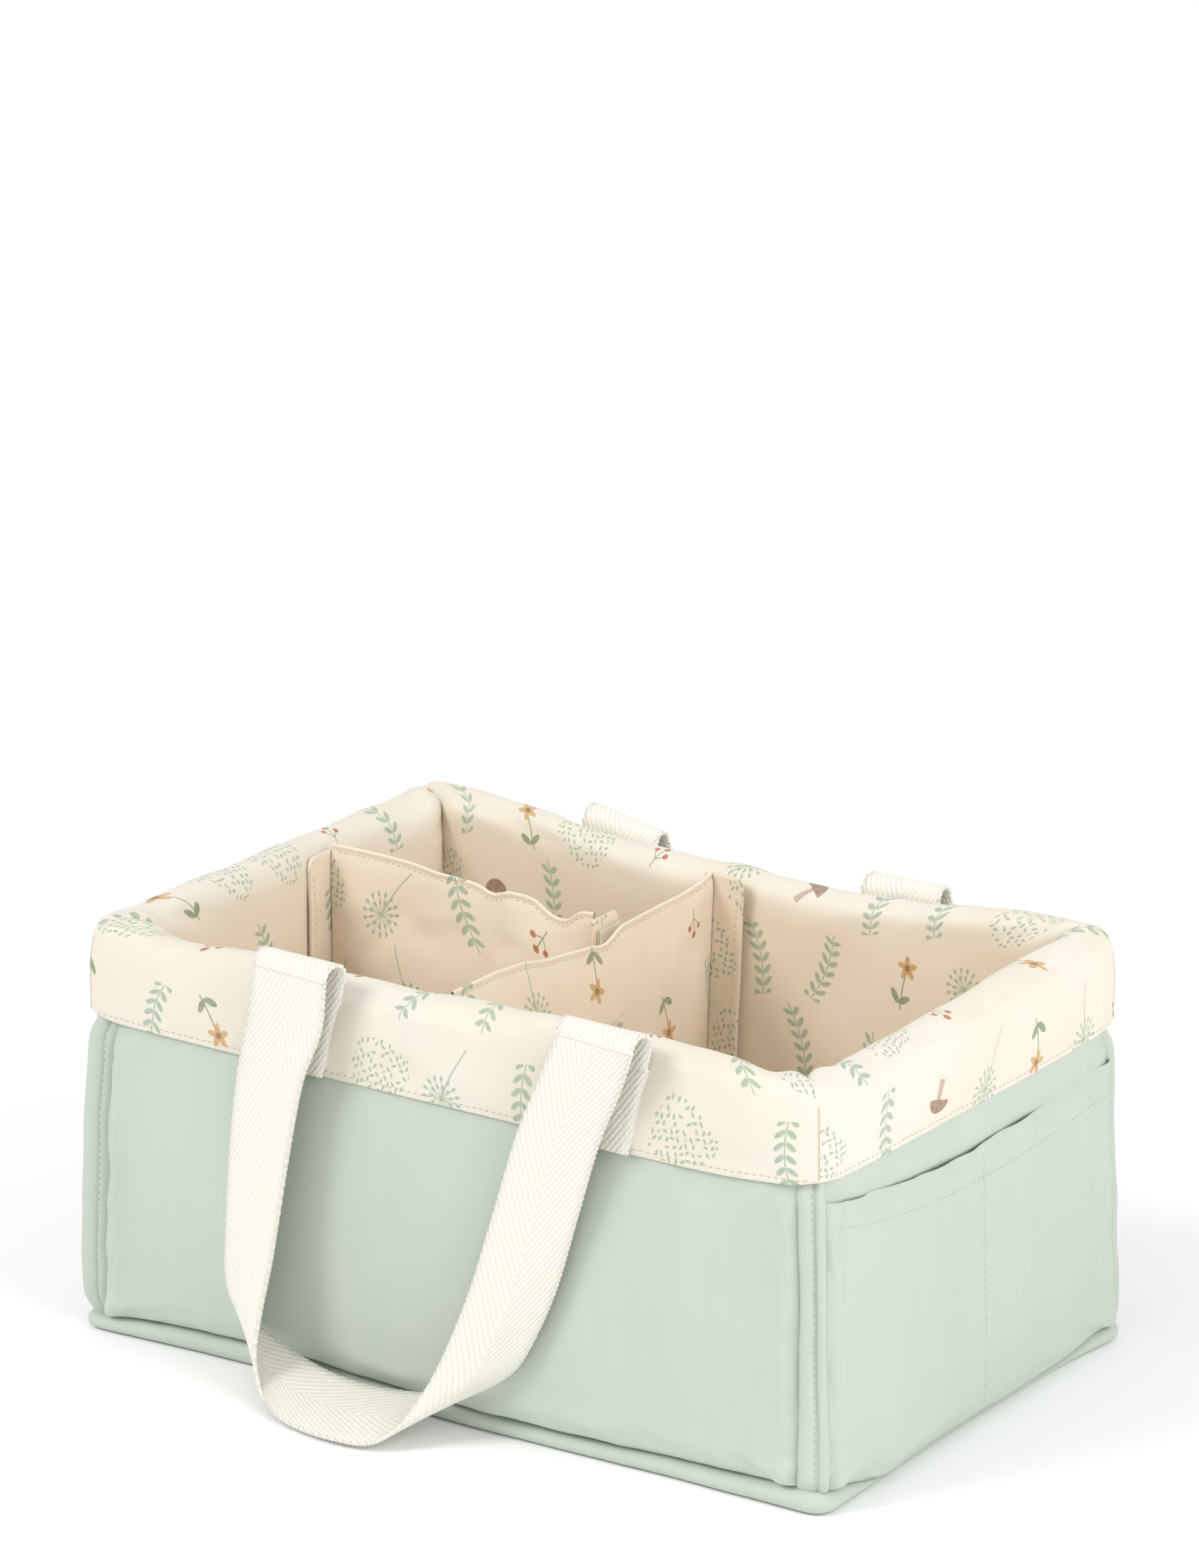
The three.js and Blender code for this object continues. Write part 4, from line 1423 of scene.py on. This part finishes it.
def flap(body, end, origin, along_way, out_way, low, high, seed, rise=0, lean=upright):
    """A cloth flap at a divider's end, which lies against a wall and carries the hook tape.

    along_way points along the wall from the flap's low end to its high end, and out_way
    points from the wall into the basket."""
    width = high - low
    bottom = DIVIDER_BOTTOM
    height = DIVIDER_TOP - 2 + rise - bottom
    root = low if abs(low) < abs(high) else high
    tip = high if root == low else low
    along_way, out_way = Vector(along_way), Vector(out_way)

    def place(u, v):
        along = lerp(low, high, u)
        from_tip = abs(along - tip)
        top = height
        if from_tip < FLAP_CORNER:
            cut_back = FLAP_CORNER - from_tip
            top -= FLAP_CORNER - math.sqrt(max(0, FLAP_CORNER ** 2 - cut_back ** 2))
        level = bottom + v * top
        curled = smooth(abs(along - root), width * 0.4, width)
        lift = 0.5 + 1.3 * curled * (0.5 + ripple(0, level, 40, seed))
        lift += 0.3 * ripple(along, level, 12, seed + 1)
        spot = Vector(origin) + along_way * (along + lean(level)) + out_way * lift
        return spot.x, spot.y, level

    name = f"{body}_flap_cloth_{end}"
    offset = (seed * 53, 20)
    piece = cloth_grid(name, 10, 56, place, (width, height), shaded_lining_print, offset)
    if along_way.cross(Vector((0, 0, 1))).dot(out_way) < 0:
        piece.data.flip_normals()
    finer(piece)
    thicker(piece, 1.4)
    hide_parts(f"{body}_flap_{end}")
    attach(piece, body)
    line = []
    edge = tip - 3 * (1 if tip > root else -1)
    for step in range(61):
        level = bottom + 3 + step / 60 * (height - 12)
        spot = Vector(origin) + along_way * (edge + lean(level)) + out_way * 1.5
        line.append(Vector((spot.x, spot.y, level)))
    stitches(f"{name}_stitches", [line], cream_thread, piece, body, length=2.2)


flap("cross_divider", "front", (CROSS_PLACE, -97.9, 0), (1, 0, 0), (0, 1, 0),
     -FLAP_NARROW, FLAP_WIDE, 91.0, lean=cross_lean)
flap("cross_divider", "back", (CROSS_PLACE, 97.9, 0), (1, 0, 0), (0, -1, 0),
     -FLAP_NARROW, FLAP_WIDE, 93.0, rise=3, lean=cross_lean)
flap("long_divider", "left", (-163.9, LONG_PLACE, 0), (0, 1, 0), (1, 0, 0),
     -FLAP_WIDE, FLAP_NARROW, 95.0, rise=5)
flap("long_divider", "right", (-21.6, LONG_PLACE, 0), (0, 1, 0), (-1, 0, 0),
     -FLAP_NARROW, FLAP_WIDE, 97.0)

for name in ("loop_tape_front", "loop_tape_back", "loop_tape_left", "loop_tape_cross_divider",
             "cross_divider_hook_front", "cross_divider_hook_back",
             "long_divider_hook_left", "long_divider_hook_right"):
    dress(name, tape)

# Handles

TAB_FACE = LONG_WALL.outward(0, -CLEARANCE, SHOULDER)
TURN_OUT = TAB_FACE + STRAP_THICKNESS / 2 + FOLD_RADIUS

# Share of the span between the tabs, of the handle's depth and of its length, then the strap's
# turn about the vertical and its tilt, in degrees.
HANDLE_ROUTE = (
    (0, 0.333, 0, 174, 0), (-0.008, 0.364, 0.12, 175, -2), (-0.045, 0.4, 0.25, 168, -3),
    (-0.09, 0.392, 0.45, 163, -2), (-0.13, 0.378, 0.68, 156, -2), (-0.15, 0.395, 0.8, 149, 3),
    (-0.145, 0.44, 0.885, 140, 12), (-0.105, 0.49, 0.938, 131, 20), (-0.045, 0.62, 0.965, 122, 22),
    (0.04, 0.82, 0.984, 112, 19), (0.15, 0.99, 0.994, 106, 15), (0.28, 1.05, 0.995, 98, 13),
    (0.42, 0.96, 0.984, 82, 16), (0.525, 0.77, 0.952, 60, 17), (0.605, 0.53, 0.885, 34, 17),
    (0.665, 0.38, 0.8, 20, 14), (0.75, 0.3, 0.633, 12, 10), (0.825, 0.3, 0.44, 6, 8),
    (0.9, 0.32, 0.245, 3, 6), (0.955, 0.33, 0.114, 0, 3), (1, 0.333, 0, -6, 0),
)
FOLD_TURN = 2.1

# The sewn ends lean: shift along the wall at the hem and at the fold.
TAB_LEAN = {"front": (-7.5, 3.2), "back": (0.0, 8.0)}
# How much lower the folds at the back hang, by place along the wall.
BACK_FOLD_DROP = ((-98, 12.4), (-58, 14), (50, 15.5), (90, 9))
FOLD_FADE = 48
SELVEDGE_PITCH = 2.6
SELVEDGE_BUMP = 0.3


def curve_point(points, share):
    """A point of the smooth curve through a row of points."""
    spans = len(points) - 1
    place = share * spans
    index = min(int(place), spans - 1)
    t = place - index
    p1, p2 = points[index], points[index + 1]
    p0 = points[index - 1] if index > 0 else p1 * 2 - p2
    p3 = points[index + 2] if index + 2 <= spans else p2 * 2 - p1
    v0, v1 = (p2 - p0) / 2, (p3 - p1) / 2
    return (
        p1 * (2 * t ** 3 - 3 * t ** 2 + 1) + v0 * (t ** 3 - 2 * t ** 2 + t)
        + p2 * (-2 * t ** 3 + 3 * t ** 2) + v1 * (t ** 3 - t ** 2)
    )


def ribbon(name, far_edge, near_edge, rows):
    """Webbing between two edge lines of points, with the small bumps of its selvedge."""
    middle = [(far + near) / 2 for far, near in zip(far_edge, near_edge)]
    lengths = [0.0]
    for start, end in zip(middle, middle[1:]):
        lengths.append(lengths[-1] + (end - start).length)

    def place(u, v):
        row = round(v * rows)
        far, near = far_edge[row], near_edge[row]
        side = (near - far).normalized()
        bump = SELVEDGE_BUMP * math.sin(2 * math.pi * lengths[row] / SELVEDGE_PITCH)
        far, near = far - side * bump, near + side * bump
        return far.lerp(near, u)

    size = (STRAP_WIDTH, lengths[-1])
    piece = cloth_grid(name, 10, rows, place, size, webbing, row_places=lengths)
    thicker(piece, STRAP_THICKNESS - 0.2, 0.0)
    return piece, lengths[-1]


def hung(point, side, below):
    """A strap's point near its fold, lowered at the back."""
    near = 1 - smooth(below, 0, FOLD_FADE)
    drop = table(point.x, BACK_FOLD_DROP) if side == "back" else 0
    return point - Vector((0, 0, drop * near))


def handle(side):
    quarters = 0 if side == "front" else 2
    left, right = TAB_OFFSETS[side]
    start = TURN_HEIGHT - CLEARANCE
    edges = ([], [])
    for across, out, drop, turn, tilt in HANDLE_ROUTE:
        a, b = math.radians(turn), math.radians(tilt)
        side_way = Vector((math.cos(a) * math.cos(b), math.sin(a) * math.cos(b), math.sin(b)))
        side_way *= STRAP_WIDTH / 2
        below = drop * HANDLE_LENGTH
        along = lerp(left, right, across) + TAB_LEAN[side][1] * (1 - smooth(below, 0, FOLD_FADE))
        centre = Vector((along, -(TURN_OUT + out * HANDLE_DEPTH), start - below))
        edges[0].append(hung(centre + side_way, side, below))
        edges[1].append(hung(centre - side_way, side, below))
    rows = 560
    far, near = (
        [turned(curve_point(edge, row / rows), quarters) for row in range(rows + 1)] for edge in edges
    )
    strap, length = ribbon(f"strap_{side}", far, near, rows)
    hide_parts(f"handle_{side}")
    flat = (STRAP_WIDTH * MM, length * MM)
    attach(strap, f"{side}_handle")
    for end, centre in (("left", left), ("right", right)):
        strap_end(side, end, centre, quarters)


def strap_end(side, end, centre, quarters):
    """The strap's sewn end on the cuff and its turn above the rim, in one strip."""
    low = HEM + 0.3
    straight = 44
    bend = 26
    rows = straight + bend

    def line(half):
        points = []
        for step in range(straight):
            height = lerp(low, TURN_HEIGHT, step / straight)
            along = centre + half + lerp(*TAB_LEAN[side], step / straight)
            depth = -CLEARANCE - STRAP_THICKNESS / 2
            under = LONG_WALL.at(along, depth, min(height, SHOULDER))
            out = under.y if height < SHOULDER else -TURN_OUT + FOLD_RADIUS
            level = Vector((along, out, height))
            if side == "front" and height < SHOULDER:
                moved = fuller(level)
                settled = (moved.z - height) * (1 - smooth(height, HEM, SHOULDER))
                level = Vector((moved.x, moved.y, height + settled))
            points.append(hung(level, side, TURN_HEIGHT - height))
        across = half * math.cos(FOLD_TURN * 2 / STRAP_WIDTH)
        for step in range(bend + 1):
            angle = math.pi * step / bend
            along = centre + lerp(half, across, step / bend) + TAB_LEAN[side][1]
            turn = math.copysign(FOLD_TURN, half) * (1 - math.cos(angle)) / 2
            out = TURN_OUT - FOLD_RADIUS * math.cos(angle) + turn
            height = TURN_HEIGHT + FOLD_RADIUS * math.sin(angle) - CLEARANCE * step / bend
            points.append(hung(Vector((along, -out, height)), side, 0))
        return [turned(point, quarters) for point in points]

    near, far = line(STRAP_WIDTH / 2), line(-STRAP_WIDTH / 2)
    piece, length = ribbon(f"strap_end_{side}_{end}", far, near, rows)
    bake_shape(piece)
    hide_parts(f"handle_tab_{side}_{end}", f"handle_fold_{side}_{end}")
    flat = (STRAP_WIDTH * MM, length * MM)
    way = 1 if side == "front" else -1
    -way * (TURN_OUT - FOLD_RADIUS) * MM
    -way * (TURN_OUT + FOLD_RADIUS) * MM
    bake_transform(piece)


for side in TAB_OFFSETS:
    handle(side)

# Stage, light and camera

SKY_STRENGTH = 0.8
FILL_POWER = 36
KEY_STRENGTH = 1.25
KEY_ANGLE = 24
KEY_WAY = (1.5, 2.1, -2.2)
LENS = 163.9
CAMERA_PLACE = (1635.62, -2375.14, 1162.2)
CAMERA_RISE = 1.8
CAMERA_RIGHT = (0.8235, 0.5673, -0.0017)
CAMERA_FORWARD = (-0.5412, 0.7846, -0.3024)


def plain_material(name, colour, roughness):
    finish = Finish(name, roughness)
    finish.shader.inputs["Base Color"].default_value = (*colour, 1)
    return finish.material


def stage_floor():
    builder = bmesh.new()
    bmesh.ops.create_circle(builder, cap_ends=True, segments=96, radius=40)
    white = plain_material("studio_white", (0.95, 0.95, 0.95), 0.9)
    floor = new_piece("studio_floor", builder, white, False)


def area_light(name, location, target, size, power):
    light = bpy.data.lights.new(name, "AREA")
    light.shape = "DISK"
    light.size = size
    light.energy = power
    lamp = bpy.data.objects.new(name, light)
    bpy.context.scene.collection.objects.link(lamp)
    lamp.location = location
    way = Vector(target) - Vector(location)
    lamp.rotation_euler = way.to_track_quat("-Z", "Y").to_euler()


def studio_light():
    bpy.context.scene.view_settings.view_transform = "Standard"
    world = bpy.data.worlds.new("studio")
    bpy.context.scene.world = world
    world.use_nodes = True
    background = world.node_tree.nodes["Background"]
    background.inputs["Color"].default_value = (1.0, 1.0, 1.0, 1)
    background.inputs["Strength"].default_value = SKY_STRENGTH
    area_light("right_fill", (2.6, -0.4, 1.5), (0, 0, 0.1), 2.0, FILL_POWER)
    sun = bpy.data.lights.new("key", "SUN")
    sun.energy = KEY_STRENGTH
    sun.angle = math.radians(KEY_ANGLE)
    key = bpy.data.objects.new("key", sun)
    bpy.context.scene.collection.objects.link(key)
    key.rotation_euler = Vector(KEY_WAY).to_track_quat("-Z", "Y").to_euler()


def photo_camera():
    camera_data = bpy.data.cameras.new("camera")
    camera_data.sensor_width = 36
    camera_data.lens = LENS
    camera = bpy.data.objects.new("camera", camera_data)
    bpy.context.scene.collection.objects.link(camera)
    forward = Vector(CAMERA_FORWARD).normalized()
    right = Vector(CAMERA_RIGHT)
    right = (right - forward * right.dot(forward)).normalized()
    up = right.cross(forward)
    turn = Matrix((right, up, -forward)).transposed()
    place = Vector(CAMERA_PLACE) + up * CAMERA_RISE
    camera.matrix_world = Matrix.Translation(place * MM) @ turn.to_4x4()
    camera_data.clip_start = 0.05
    camera_data.clip_end = 100
    bpy.context.scene.camera = camera


stage_floor()
studio_light()
photo_camera()
